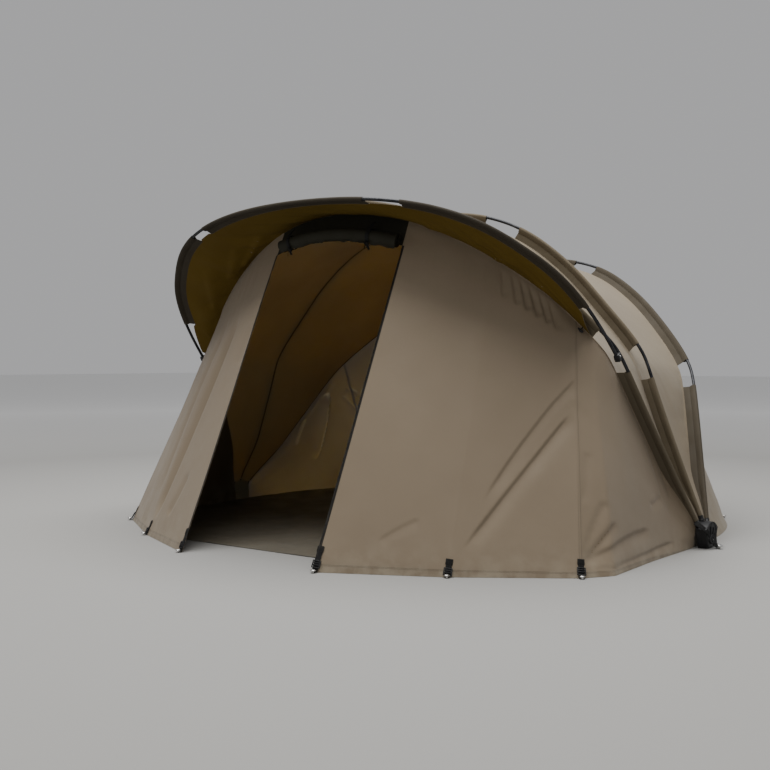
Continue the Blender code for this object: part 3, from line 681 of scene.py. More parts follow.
porch_cloth = fabric("porch_cloth", (0.225, 0.186, 0.134), (0.198, 0.162, 0.115), 0.60)
# The underside: painted shade and painted daylight through the cloth, a dark saturated amber.
painted_porch_lining = fabric("painted_porch_lining", (0.128, 0.083, 0.016), (0.098, 0.062, 0.011), 0.75,
                      dusty=0.0, sheen=0.0, specular=0.08)
porch_run = 3.3
porch_rows = np.linspace(porch_first, porch_last, 280)
porch_columns = np.linspace(0.0, 1.0, 26)
row_shares = np.interp(porch_rows, np.arange(porch_first, porch_last + 1), porch_places)
porch_points, porch_inward = bay_grid(
    porch_rib, front_rib, row_shares, np.interp(porch_rows, every_station, front_places),
    porch_columns, 0.030)
lengthwise = (porch_rows[:, None] - porch_first) / (porch_last - porch_first) * porch_run
crosswise = porch_columns[None, :]
held = ease(crosswise, 0.0, 0.12) * ease(1.0 - crosswise, 0.0, 0.12)
held = held * ease(lengthwise, 0.0, 0.2) * ease(porch_run - lengthwise, 0.0, 0.2)
folds = rumple((lengthwise + 0.35 * crosswise) / 0.10, crosswise * 1.3, 71) * 0.0060
folds = folds + rumple(lengthwise / 0.5, crosswise, 75) * 0.004
porch_points = porch_points + porch_inward * (folds * held)[..., None]

# A tension fold runs between two spots, each a station and a share of the way across.
rows_each = (len(porch_rows) - 1) / (porch_last - porch_first)
for *spots, depth, width in (
        ((10.8, 0.80), (9.3, 0.30), 0.013, 0.016), ((11.1, 0.55), (10.2, 0.22), 0.009, 0.013),
        ((9.6, 0.85), (8.6, 0.55), 0.007, 0.012), ((20.6, 0.95), (18.6, 0.62), 0.010, 0.015),
        ((21.6, 0.85), (19.8, 0.45), 0.008, 0.015), ((23.4, 0.80), (22.2, 0.25), 0.007, 0.014),
        ((13.2, 0.90), (12.1, 0.40), 0.006, 0.014)):
    start, end = [porch_points[int((station - porch_first) * rows_each), int(25 * across)]
                  for station, across in spots]
    tuck = crease(porch_points, -porch_inward, [start, 0.5 * (start + end), end], depth, width)
    porch_points = porch_points - porch_inward * (tuck * held)[..., None]

# In the gaps of its sleeve the cloth reaches nearer to the pole.
porch_whole = 2.0 * porch_rib.half
row_lengths = porch_rib.start + row_shares * 2.0 * (porch_rib.half - porch_rib.start)
bared = sum(ease(row_lengths, low, low + 0.014) * ease(high - row_lengths, 0.0, 0.014)
            for low, high in (porch_top_gap, [porch_whole - end for end in porch_side_gap[::-1]]))
raised = bared[:, None] * (1.0 - ease(crosswise, 0.0, 0.12)) * 0.015
porch_points = porch_points - porch_rib.get("drop", row_shares)[:, None] * raised[..., None]

# On the left it runs on in a gusset that narrows down to the hinge of the porch rib.
narrowing = np.linspace(0.0, 1.0, 16)[1:, None]
edge_share = 1.0 - porch_rib.share(0.27 - 0.215 * narrowing[:, 0])
sewn_share = 1.0 - front_rib.share(1.20 - 0.125 * narrowing[:, 0])
edge, sewn = porch_rib.get("centre", edge_share), front_rib.seam(sewn_share)
reach = unit(unit(sewn - edge) * narrowing + porch_rib.get("drop", edge_share) * (1.0 - narrowing))
edge = edge + reach * (Rib.fin - 0.040 * narrowing ** 0.35)
gusset = edge[:, None] + (sewn - edge)[:, None] * porch_columns[None, :, None]
porch_points = np.concatenate([porch_points, gusset])
porch_inward = np.concatenate([porch_inward, np.repeat(porch_inward[-1:], len(gusset), 0)])
cloth("porch_cloth", porch_points, -porch_inward, [porch_cloth, painted_porch_lining], ["porch_canopy"])
for number, (label, low, high) in enumerate((
        ("right", 0.300, porch_top_gap[0]),
        ("crown", porch_top_gap[1], porch_whole - porch_side_gap[1]),
        ("left", porch_whole - porch_side_gap[0], porch_whole - 0.276))):
    fin(f"porch_fin_{label}", porch_rib, low, high, f"porch_sleeve_{label}", 60 + number)


# Front: a zip-in wall of the same cloth, in four widths. A flank and a panel stand on each side of
# the open doorway, from the front rib down to the pegged hem, and the lintel runs over it.
hem_keys = np.array([0.0, 5.0, 7.0, 8.0, 11.0, 14.0, 16.0])
hem_x = np.array([1.515, 1.486, 1.480, 1.387, 0.923, 0.398, 0.0])
hem_y = np.array([-0.060, -0.500, -0.905, -1.033, -1.340, -1.588, -1.640])


def from_nearer_hub(stations):
    """Stations counted from the nearer hub, and the side that each is on: 1 right, -1 left."""
    left = stations > 0.5 * last_place
    return np.where(left, last_place - stations, stations), np.where(left, -1.0, 1.0)


def front_hem(stations):
    """The front hem's place on the ground at each station, mirrored on the left."""
    near, side = from_nearer_hub(stations)
    return np.stack([side * np.interp(near, hem_keys, hem_x), np.interp(near, hem_keys, hem_y),
                     np.zeros_like(near)], -1)


cloth_space = 0.004
corner_y = 0.0600


class Wall:
    """Cloth that hangs from a rib to its hem, by station and by share of the way down.

    It faces +1, the back, or -1, the front, and is drawn in by its sag.
    """

    def __init__(self, rib, rib_places, hem, facing, sag=0.0):
        self.rib, self.rib_places, self.hem = rib, rib_places, hem
        self.facing, self.sag = facing, sag

    def at(self, stations, parts):
        """Points and outward directions at stations and at shares of the way down."""
        shares = np.interp(stations, every_station, self.rib_places)
        seam, drop = self.rib.seam(shares), self.rib.get("drop", shares)
        back, along = self.rib.get("back", shares), self.rib.get("along", shares)
        ground = self.hem(stations)
        out = facing_to(unit(np.cross(along, ground - seam)), back * self.facing - drop)
        head = seam + drop * (0.0003 + cloth_space * (1.0 + 0.5 * np.abs(dot(out, drop))))
        head = head + back * self.facing * (0.0006 + cloth_space * 0.5 * np.abs(dot(out, back)))
        run = unit(self.hem(np.minimum(stations + 0.5, last_place))
                   - self.hem(np.maximum(stations - 0.5, 0.0)))
        foot_out = facing_to(np.stack([-run[:, 1], run[:, 0], np.zeros(len(run))], -1), ground)
        part = parts[None, :, None]
        reach = (ground - head)[:, None]
        depth = self.sag * np.linalg.norm(reach, axis=2, keepdims=True) * 4.0 * part * (1.0 - part)
        facing_out = unit(out[:, None] * (1.0 - part) + foot_out[:, None] * part)
        points = head[:, None] + reach * part - out[:, None] * depth
        return points + facing_out * 0.5 * cloth_space, facing_out

    def pushed(self, points, outward, folds):
        """How far folds push the wall's points out: each runs smoothly through three spots."""
        total = np.zeros(points.shape[:2])
        every = np.arange(9)
        for spots, depth, width, lean in folds.values():
            stations, parts = (np.polyval(np.polyfit((0.0, 0.5, 1.0), values, 2), every / 8.0)
                               for values in np.transpose(spots))
            line = self.at(stations, parts)[0][every, every]
            total += crease(points, outward, line, depth, width, lean)
        return total

    def sewn_on(self, points, outward, stations):
        """The wall with one more row, where its top edge is sewn to the rib's seam."""
        edges = len(points) - len(stations)
        stations = np.pad(stations, (min(edges, 1), edges // 2), "edge")
        shares = np.interp(stations, every_station, self.rib_places)
        edge = self.rib.seam(shares) + self.rib.get("drop", shares) * 0.0013
        edge = edge + self.rib.get("back", shares) * self.facing * 0.0004
        return (np.concatenate([edge[:, None], points], 1),
                np.concatenate([outward[:, :1], outward], 1))

    def beside_hub(self, points, outward, station):
        """The wall with one more column, where its side edge is sewn to the canopy at a hub."""
        _, side = from_nearer_hub(station)
        top = self.rib.seam(np.array([0.5 - 0.5 * side]))[0]
        foot = np.array([side * (canopy_foot - 0.0012), self.facing * corner_y, 0.0])
        edge = top + (foot - top) * np.linspace(0.0, 1.0, points.shape[1])[:, None]
        return np.concatenate([edge[None], points]), np.concatenate([outward[:1], outward])


front_wall = Wall(front_rib, front_places, front_hem, -1.0)
front_cloth = fabric("front_cloth", (0.222, 0.174, 0.118), (0.196, 0.152, 0.102), 0.60)
# Near-black cloth for the lintel and the rolled door: painted shade from the porch over them; on the
# roll it also stands for the door cloth's darker inner side.
shade_painted_cloth = fabric("shade_painted_cloth", (0.019, 0.0175, 0.0095), (0.013, 0.012, 0.007), 0.78, dusty=0.0,
                    slack=0.9, sheen=0.0)
front_lining = fabric("front_lining", (0.16, 0.120, 0.060), (0.13, 0.095, 0.045), 0.55)
seam_place = 8.0
door_place = 14.0

# Folds of the front, each as spots on the wall that it runs through, its depth, its width and how
# far it leans over. A spot is a station and the share of the way down from the rib to the hem.
front_folds = {
    "upper slant": ([(7.9, 0.23), (9.3, 0.51), (10.4, 0.78)], 0.0085, 0.0080, 0.9),
    "lower slant": ([(8.15, 0.39), (9.5, 0.67), (10.75, 0.93)], 0.0110, 0.0085, 0.9),
    "between slants": ([(7.9, 0.32), (8.8, 0.49), (9.6, 0.66)], 0.0040, 0.0300, 0.5),
    "peg fan, high": ([(7.05, 0.70), (7.6, 0.82), (7.95, 0.95)], 0.0060, 0.0090, 0.6),
    "peg fan, steep": ([(6.7, 0.79), (7.35, 0.87), (7.95, 0.96)], 0.0090, 0.0085, 0.6),
    "peg fan, level": ([(4.6, 0.835), (6.6, 0.88), (7.95, 0.965)], 0.0080, 0.0100, 0.7),
    "peg fan, low": ([(1.9, 0.885), (5.0, 0.955), (7.95, 0.97)], 0.0070, 0.0095, 0.6),
    "beside the seam": ([(7.7, 0.52), (7.8, 0.64), (7.9, 0.735)], 0.0045, 0.0085, 0.6),
    "flank, at the rib": ([(1.9, 0.01), (1.6, 0.16), (1.6, 0.295)], 0.0040, 0.0090, 0.4),
    "flank, across": ([(2.4, 0.425), (3.3, 0.58), (4.1, 0.66)], 0.0045, 0.0090, 0.5),
    "flank, down": ([(3.0, 0.055), (2.6, 0.225), (2.3, 0.50)], 0.0035, 0.0100, 0.4),
    "hem wrinkle": ([(11.8, 0.845), (12.3, 0.88), (12.7, 0.92)], 0.0030, 0.0090, 0.5),
    "left peg's pull": ([(20.9, 0.95), (20.25, 0.62), (19.4, 0.22)], 0.0300, 0.0180, 0.5),
    "beside the pull": ([(21.5, 0.86), (21.3, 0.52), (20.4, 0.18)], 0.0120, 0.0140, 0.6),
    "left short pull": ([(19.9, 0.92), (19.6, 0.85), (19.3, 0.77)], 0.0100, 0.0110, 0.6),
    "left door edge": ([(18.3, 0.435), (18.2, 0.37), (18.2, 0.305)], 0.0060, 0.0140, 0.8),
}
# Under the porch the right panel is gathered at the rib: (station, run towards the hub, depth).
gathers = ((10.75, 0.2, 0.0035), (10.4, 0.3, 0.0060), (10.1, 0.35, 0.0095), (9.8, 0.4, 0.0105),
           (9.45, 0.4, 0.0090), (9.1, 0.4, 0.0060))
for number, (top, run, depth) in enumerate(gathers):
    front_folds[f"gather {number + 1}"] = ([(top, 0.0), (top - 0.5 * run, 0.05),
                                            (top - run, 0.11)], depth, 0.0085, 0.7)


def front_surface(stations, parts):
    """Points and outward directions of the front wall, with its folds and wrinkles."""
    points, outward = front_wall.at(stations, parts)
    points[:, parts == 1.0, 2] = 0.0
    every = np.linspace(0.0, last_place, 641)
    sideways = np.interp(stations, every, run_of(front_hem(every)))[:, None]
    from_hem = points[..., 2]
    amount = front_wall.pushed(points, outward, front_folds)
    amount += rumple(sideways / 0.26, parts * 3.0, 81) * 0.0030
    amount += rumple(sideways / 0.05, parts * 2.0, 84) * 0.0011 * np.exp(-parts / 0.12)
    amount += rumple(sideways / 0.045, from_hem / 0.12, 87) * 0.0014 * np.exp(-from_hem / 0.09)
    settled = ease(parts, 0.0, 0.05) * ease(from_hem, 0.0, 0.06)
    return points + outward * (amount * settled)[..., None], outward


sides = {"right": 1.0, "left": -1.0}


def on_side(side, stations):
    """Stations of the right side, or the mirrored ones on the left."""
    return np.array(stations) if side > 0.0 else last_place - np.array(stations)


corner_place = 0.003
widths = {
    "flank": (corner_place, seam_place, {"right": 72, "left": 72}, "flank", (1.05, 1.3), 0.60),
    "panel": (seam_place, door_place, {"right": 210, "left": 120}, "front_panel", (1.25, 1.6),
              1.42),
}
for width_name, (first, last, columns, solid, flat, area) in widths.items():
    for side_name, side in sides.items():
        stations = on_side(side, np.linspace(first, last, columns[side_name]))
        parts = np.linspace(0.0, 1.0, 205 if columns[side_name] > 200 else 150)
        points, outward = front_surface(stations, parts)
        if width_name == "flank":
            points, outward = front_wall.beside_hub(points, outward, stations[0])
        points, outward = front_wall.sewn_on(points, outward, stations)
        cloth(f"{side_name}_{width_name}_cloth", points, outward, [front_cloth, front_lining],
              [f"{solid}_{side_name}"])

# The lintel takes the near-black cloth, painted shade under the porch.
doorway_top = 0.075
lintel_stations = np.linspace(door_place, last_place - door_place, 90)
points, outward = front_wall.at(lintel_stations, np.linspace(0.0, doorway_top, 14))
pleats = rumple(np.linspace(0.0, 12.0, 90)[:, None], np.linspace(0.0, 1.0, 14)[None], 99)
points = points - outward * (np.abs(pleats) * 0.0015)[..., None]
points, outward = front_wall.sewn_on(points, outward, lintel_stations)
cloth("lintel_cloth", points, outward, [shade_painted_cloth], ["lintel"])


# Back: a wall of the canopy's own cloth in three widths, with two stitched seams, from the rear
# rib's sleeve to the ground. It is drawn in a little and pegged at three places along its hem.
back_depth = 1.560
back_power = 2.0 / 2.58
back_start = math.asin((corner_y / back_depth) ** (1.0 / back_power))


def back_hem(stations):
    """The back hem's place on the ground: a squarish oval from hub to hub."""
    near, side = from_nearer_hub(stations)
    turn = np.minimum(back_start + (0.5 * math.pi - back_start) * near / 16.0, 0.5 * math.pi)
    return np.stack([side * canopy_foot * np.maximum(np.cos(turn), 0.0) ** back_power,
                     back_depth * np.sin(turn) ** back_power, np.zeros_like(near)], -1)


back_lining = fabric("back_lining", (0.50, 0.48, 0.50), (0.42, 0.40, 0.41), 0.62, dusty=0.0,
                     through=0.55)
back_seam = fabric("back_seam", (0.215, 0.175, 0.120), (0.190, 0.152, 0.102), 0.60,
                   rows=(0.0022, 0.0078))
# Folds of the back, given as those of the front. One with a negative depth stands out, not in.
back_folds = {
    "left, long": ([(27.1, 0.08), (27.6, 0.31), (28.4, 0.62)], 0.0300, 0.0110, 0.8),
    "left, upper pull": ([(24.6, 0.26), (25.0, 0.19), (25.5, 0.14)], -0.0050, 0.0140, 0.5),
    "left, lower pull": ([(24.9, 0.36), (25.4, 0.26), (26.0, 0.17)], -0.0060, 0.0150, 0.5),
    "left, at the rib": ([(26.2, 0.05), (27.4, 0.06), (28.6, 0.05)], -0.0060, 0.0120, 0.5),
    "left, at the foot": ([(28.6, 0.04), (29.1, 0.125), (29.4, 0.25)], -0.0100, 0.0110, 0.5),
    "right, slant": ([(8.6, 0.13), (7.8, 0.42), (7.1, 0.70)], 0.0080, 0.0200, 0.7),
    "middle, slant": ([(13.1, 0.28), (13.0, 0.56), (12.9, 0.80)], 0.0060, 0.0200, 0.7),
}
back_wall = Wall(rear_rib, rear_places, back_hem, 1.0, 0.018)
back_stations = np.linspace(corner_place, last_place - corner_place, 322)
back_parts = np.linspace(0.0, 1.0, 88)
points, outward = back_wall.at(back_stations, back_parts)
sideways = run_of(points[:, -1])[:, None]
from_hem = points[..., 2]
amount = back_wall.pushed(points, outward, back_folds)
amount += rumple(sideways / 0.33, back_parts * 4.0, 111) * 0.0045
amount += rumple(sideways / 0.06, back_parts * 2.0, 115) * 0.0018 * np.exp(-back_parts / 0.15)
amount += rumple(sideways / 0.05, from_hem / 0.12, 117) * 0.0020 * np.exp(-from_hem / 0.12)
settled = ease(back_parts, 0.0, 0.05) * ease(from_hem, 0.0, 0.06)
points = points + outward * (amount * settled)[..., None]
points[:, -1, 2] = 0.0
back_seam_place = 7.0
for side_name, side in sides.items():
    rows = []
    for place in on_side(side, back_seam_place) + np.array([-0.05, -0.02, 0.02, 0.05]):
        after = np.searchsorted(back_stations, place)
        share = (place - back_stations[after - 1]) / (back_stations[after]
                                                      - back_stations[after - 1])
        row = points[after - 1] * (1.0 - share) + points[after] * share
        rows.append(row + outward[after] * 0.0012)
    cloth(f"back_seam_band_{side_name}", rows, outward[after], [back_seam], (),
          thickness=0.0010)

for end in (0, -1):
    points, outward = back_wall.beside_hub(points, outward, back_stations[end])
    points, outward = points[::-1], outward[::-1]
points, outward = back_wall.sewn_on(points, outward, back_stations)
cloth("back_cloth", points, outward, [canopy_cloth, back_lining],
      ["back_panel_right", "back_panel_middle", "back_panel_left"])


# Groundsheet: heavier coated cloth that lies on the ground inside the hems, a little rippled, and
# stops short of the doorway.
coated = Recipe("groundsheet_cloth", (0.130, 0.117, 0.092), 0.52)
coated_tone = coated.mottled((0.150, 0.135, 0.106), (0.105, 0.094, 0.073), 2.4, 4.0, 0.3, 0.7)
coated.finish(coated.mottled(coated_tone, (0.26, 0.225, 0.165), 26.0, 6.0, 0.56, 0.72, 0.35), 7.0,
              0.42, 0.62)
coated.bump(coated.weave(0.0016, 0.0016), 0.4, 0.0004)
coated.bump(coated.noise(7.0, 4.0), 0.5, 0.008)
inset = 0.0046
ground_front = -1.33
hem_line = front_hem(np.linspace(0.0, 16.0, 400))
back_line = back_hem(np.linspace(0.0, 16.0, 800))
whole_y = np.concatenate([hem_line[::-1, 1], back_line[:, 1]])
whole_x = np.concatenate([hem_line[::-1, 0], back_line[:, 0]])
rows_y = ground_front + (back_depth - inset - ground_front) * np.sin(
    0.5 * math.pi * np.linspace(0.0, 1.0, 104) ** 1.2)
half_x = np.maximum(np.interp(rows_y + np.where(rows_y > 0.0, inset, -inset), whole_y, whole_x)
                    - 2.0 * inset, 0.02)
grid_x = half_x[:, None] * np.linspace(-1.0, 1.0, 104)
grid_y = np.repeat(rows_y[:, None], 104, 1)
height = np.clip(0.0026 + 0.0011 * rumple(grid_x / 0.16, grid_y / 0.10, 131), 0.0013, 0.0040)
cloth("groundsheet_cloth", np.stack([grid_x, grid_y, height], -1), np.array([0.0, 0.0, 1.0]),
      [coated.material], ["groundsheet"],
      slot="groundsheet")


# Seam tapes: narrow dark tape, stitched inside over the joins where the bays and the back meet
# under the ribs. They show from the doorway as lines up the lining.
inner_tape = fabric("inner_tape", (0.17, 0.135, 0.085), (0.14, 0.110, 0.068), 0.70, dusty=0.0,
                    sheen=0.0, through=0.25)
tape_shares = np.linspace(0.004, 0.996, 300)
for rib_name, before, beyond_seam in (
        ("middle", front_rib, rear_rib.seam(tape_shares)),
        ("rear", middle_rib, back_hem(np.interp(tape_shares, rear_places, every_station)))):
    rib = ground_ribs[rib_name]
    seam, drop = rib.seam(tape_shares), rib.get("drop", tape_shares)
    towards_front = unit(before.seam(tape_shares) - seam)
    beyond = unit(beyond_seam - seam)
    lift = unit(towards_front + beyond)
    lift = (np.where(dot(lift, drop) < 0.0, drop, lift) + drop) * 0.0022
    rows = [seam + lift + towards_front * 0.006, seam + lift * 1.25 + towards_front * 0.002,
            seam + lift * 1.25 + beyond * 0.002, seam + lift + beyond * 0.006]
    cloth(f"{rib_name}_seam_tape", np.stack(rows, 1), drop[:, None], [inner_tape], (),
          thickness=0.0008)


# Seams, hems and zips of the front: stitched bands of the same cloth over the joins, a doubled hem
# along the ground, and a dark zip tape with its coil down each edge of the doorway.
band_cloth = fabric("seam_band", (0.205, 0.160, 0.108), (0.180, 0.140, 0.094), 0.62, dusty=0.45,
                    rows=(0.0022, 0.0118))
hem_cloth = fabric("hem_band", (0.196, 0.152, 0.103), (0.170, 0.132, 0.088), 0.64, dusty=0.6,
                   rows=(0.0030, 0.0075))
tape_cloth = fabric("zip_tape", (0.013, 0.012, 0.010), (0.010, 0.009, 0.008), 0.75, dusty=0.3,
                    sheen=0.0, rows=(0.0020,))


def band(name, stations, parts, rise, finish, side_name, along_hem=False):
    """A narrow strip that lies on the front wall, a little proud of it."""
    points, outward = front_surface(stations, parts)
    points = points + outward * rise
    if not along_hem:
        points, outward = points.transpose(1, 0, 2), outward.transpose(1, 0, 2)
    cloth(f"{name}_{side_name}", points, outward, [finish], (),
          thickness=rise)


coil = Recipe("zip_coil", (0.010, 0.010, 0.009), 0.60, specular=0.15)
coil.finish(coil.mottled((0.016, 0.015, 0.014), (0.040, 0.036, 0.030), 40.0, 3.0, 0.4, 0.7), 60.0,
            0.30, 0.50)
coil.bump(coil.waves("X", 0.0026), 1.0, 0.0012)
coil_sides = 10
down_front = np.linspace(0.0, 1.0, 200)
down_doorway = np.linspace(doorway_top, 1.0, 200)
hem_rows = np.array([0.978, 0.985, 0.992, 1.0])
for side_name, side in sides.items():
    band("seam_band", on_side(side, [7.965, 7.983, 8.0, 8.020, 8.040]), down_front, 0.0010,
         band_cloth, side_name)
    band("zip_tape", on_side(side, [13.935, 13.955, 13.98, 14.0]), down_doorway, 0.0011,
         tape_cloth, side_name)
    points, outward = front_surface(on_side(side, [13.982, 13.992]), down_doorway)
    centre = points[0] + outward[0] * 0.0011
    across = unit(np.cross(unit(np.gradient(centre, axis=0)), outward[0]))
    rings = round_rings(centre, across, outward[0], coil_sides, 0.0029, 0.0019)
    arc = np.linspace(0.0, 2.0 * math.pi, coil_sides, endpoint=False)
    coil_uvs = np.stack([np.repeat(run_of(centre), coil_sides),
                         np.tile(arc * 0.003, len(centre))], 1)
    piece(f"zip_coil_{side_name}", *join_rings(rings), [coil.material], "cloth", uvs=coil_uvs)
    band("hem_band", on_side(side, np.linspace(0.01, 13.99, 220)), hem_rows, 0.0009, hem_cloth,
         side_name, along_hem=True)


# Door: its cloth is rolled up under the lintel, the free edge outermost, and hangs a little
# unevenly. Two webbing ties go round the roll and end in a knot below it.
roll_radius = 0.034
tie_thickness = 0.0016
upwards = np.array([0.0, 0.0, 1.0])


def under_lintel(stations):
    """Centre of the roll, its outward and along directions at the given stations."""
    edge, out = front_wall.at(stations, np.array([0.0, doorway_top]))
    along = unit(np.gradient(edge[:, -1], axis=0))
    out = square_to(unit(out[:, -1]), along)
    return edge[:, -1] + out * (roll_radius + 0.0023), out, along


tie_stations = {"right": 14.8, "left": last_place - 14.8}
roll_rows, roll_turns, roll_core = 80, 10.0, 0.006
roll_stations = np.linspace(door_place + 0.06, last_place - door_place - 0.44, roll_rows)
centre, out, along = under_lintel(roll_stations)
rising = facing_to(np.cross(along, out), upwards)
turn = np.linspace(0.0, 2.0 * math.pi * roll_turns, int(17 * roll_turns))
wound = turn / (2.0 * math.pi * roll_turns)
pinch = sum(np.exp(-((roll_stations - place) / 0.10) ** 2) for place in tie_stations.values())
unevenness = 0.0011 * rumple(roll_stations[:, None] * 3.1, np.cos(turn) * 1.5, 141)
unevenness = unevenness + 0.0008 * rumple(roll_stations[:, None] * 9.0 + np.sin(turn),
                                          np.cos(turn), 143)
outermost = roll_radius - 0.0010 - 0.0022 * pinch[:, None] + unevenness
radius = roll_core + (outermost - roll_core) * (1.0 - wound)
first_turn = math.radians(-75.0)
direction = (out[:, None] * np.cos(turn + first_turn)[:, None]
             + rising[:, None] * np.sin(turn + first_turn)[:, None])
wound_part = centre[:, None] + direction * radius[..., None]

# The free edge of the rolled cloth hangs out under the roll in an uneven line.
drop = 0.008 + 0.007 * np.abs(rumple(roll_stations * 2.3, 0.0, 151)) + 0.004 * np.abs(
    rumple(roll_stations * 8.0, 0.0, 153))
fall = np.linspace(1.0, 0.0, 7, endpoint=False)[None, :, None]
sway = out * (0.25 + 0.35 * rumple(roll_stations * 6.0, 0.0, 155))[:, None]
hanging = wound_part[:, :1] + (sway - upwards)[:, None] * (drop[:, None, None] * fall)
door_out = np.concatenate([np.repeat(out[:, None], 7, 1), direction], 1)
# The roll is near-black: partly the door's darker inner side, partly painted shade under the porch.
cloth("rolled_door_cloth", np.concatenate([hanging, wound_part], 1), door_out, [shade_painted_cloth],
      ["door_roll"], slot="door_roll",
      thickness=0.0009)


# Ties: two straps of woven black webbing, stitched to the lintel, that go round the roll. Each is
# knotted below the roll and ends in two short tails.
web = Recipe("webbing", (0.012, 0.012, 0.013), 0.72, specular=0.15)
web.finish(web.mottled((0.009, 0.009, 0.009), (0.026, 0.024, 0.021), 300.0, 3.0, 0.45, 0.75, 0.6),
           50.0, 0.60, 0.78)
web.bump(web.weave(0.0021, 0.0032, 0.3), 0.7, 0.0006)
webbing = web.material


def strap(name, line, facing, width, thickness, replaced=(), closed=False):
    """A flat webbing strap along a line, with its broad side facing the given directions."""
    if closed:
        along = unit(np.roll(line, -1, axis=0) - np.roll(line, 1, axis=0))
    else:
        along = unit(np.gradient(line, axis=0))
    facing = square_to(facing, along)
    across = np.cross(along, facing)
    half, thick = 0.5 * width, 0.5 * thickness
    section = [(-half, 0.0), (-half + thick, thick), (-0.5 * half, thick), (0.0, thick),
               (0.5 * half, thick), (half - thick, thick)]
    section += [(-x, -z) for x, z in section]
    rings = np.stack([line + across * x + facing * z for x, z in section], 1)
    vertices, faces = join_rings(rings, closed_ends=not closed)
    count = len(section)
    if closed:
        last = (len(line) - 1) * count
        faces += [[last + i, last + (i + 1) % count, (i + 1) % count, i] for i in range(count)]
    uvs = np.stack([np.repeat(run_of(line), count), np.tile([x for x, _ in section], len(line))],
                   1)
    piece(name, vertices, faces, [webbing], "webbing", replaced, sharp=50.0, uvs=uvs)


for side_name, place in tie_stations.items():
    centre, out, along = (values[1] for values in under_lintel(
        np.array([place - 0.05, place, place + 0.05])))
    around = facing_to(np.cross(along, out), upwards)
    angles = np.linspace(0.0, 2.0 * math.pi, 44, endpoint=False)[:, None]
    ring_out = np.cos(angles) * out + np.sin(angles) * around
    strap(f"door_strap_{side_name}", centre + ring_out * (roll_radius + 0.0012), ring_out, 0.020,
          tie_thickness, [f"door_tie_{side_name}"], closed=True)
    head = centre + out * (roll_radius + 0.0025)
    rise = np.linspace(0.0, 1.0, 14)[:, None]
    riser = head + (around * 0.074 - out * 0.030) * rise + out * np.sin(math.pi * rise) * 0.004
    strap(f"door_riser_{side_name}", riser, out, 0.018, tie_thickness)
    knot = centre - around * (roll_radius + 0.007) + out * 0.006
    loop = np.linspace(0.0, 2.0 * math.pi, 30, endpoint=False)[:, None]
    tangle = (knot + np.cos(loop) * along * 0.011 + np.sin(loop) * out * 0.009
              + np.sin(2.0 * loop) * around * 0.006)
    strap(f"door_knot_{side_name}", tangle, np.cos(loop) * out + np.sin(loop) * around
          + 0.3 * along, 0.012, 0.003, closed=True)
    fall = np.linspace(0.0, 1.0, 12)[:, None]
    for number, swing in enumerate((-0.5, 0.65)):
        tail = knot + fall * (along * 0.024 * swing - upwards * 0.030) + (
            out * np.sin(math.pi * fall) * 0.006)
        strap(f"door_tail_{side_name}_{number + 1}", tail, out + along * swing, 0.010, 0.0014)


# Porch hinges: clamps of black moulded plastic on the front rib, each with a zinc-plated steel bolt
# that the porch rib turns on. A small toggle hangs beside each on a loop of webbing, where the porch
# is fastened to the wall.
moulding = Recipe("moulded_plastic", (0.010, 0.010, 0.011), 0.48, specular=0.35)
moulding.finish(moulding.mottled((0.009, 0.009, 0.010), (0.030, 0.029, 0.028), 35.0, 6.0, 0.50,
                                 0.75, 0.8), 80.0, 0.42, 0.62)
moulding.bump(moulding.noise(700.0, 2.0), 0.30, 0.0003)
zinc = Recipe("zinc_steel", (0.58, 0.58, 0.57), 0.32, 1.0)
zinc.finish(zinc.mottled((0.62, 0.62, 0.61), (0.34, 0.32, 0.29), 60.0, 5.0, 0.40, 0.75), 90.0,
            0.22, 0.46)
zinc.bump(zinc.noise(500.0), 0.2, 0.0002)
plastic, steel = moulding.material, zinc.material


def moulded(name, blocks, place, finish, slot, replaced=(), bevel=0.0012, segments=2):
    """Blocks with rounded edges in one piece: (centre, size) each, in the axes of a place."""
    origin, axes = place
    maker = bmesh.new()
    for centre, size in blocks:
        made = bmesh.ops.create_cube(maker, size=1.0)
        for vertex in made["verts"]:
            vertex.co = [c + v * s for c, v, s in zip(centre, vertex.co, size)]
        edges = list({edge for vertex in made["verts"] for edge in vertex.link_edges})
        bmesh.ops.bevel(maker, geom=edges, offset=min(bevel, 0.45 * min(size)), segments=segments,
                        profile=0.5, affect="EDGES")
    local = np.array([vertex.co[:] for vertex in maker.verts])
    faces = [[vertex.index for vertex in face.verts] for face in maker.faces]
    maker.free()
    piece(name, origin + local @ np.array(axes), faces, [finish], slot, replaced, sharp=35.0)


def turned(name, profile, origin, axis, finish, slot, sides=28):
    """A round piece: a profile of (distance along the axis, radius) turned about it."""
    axis = unit(np.array(axis, float))
    helper = np.array([1.0, 0.0, 0.0]) if abs(axis[0]) < 0.8 else np.array([0.0, 1.0, 0.0])
    first = unit(np.cross(axis, helper))
    along, radius = np.transpose(profile)
    rings = round_rings(origin + axis * along[:, None], first, np.cross(axis, first), sides,
                        radius, radius)
    piece(name, *join_rings(rings), [finish], slot, sharp=32.0)


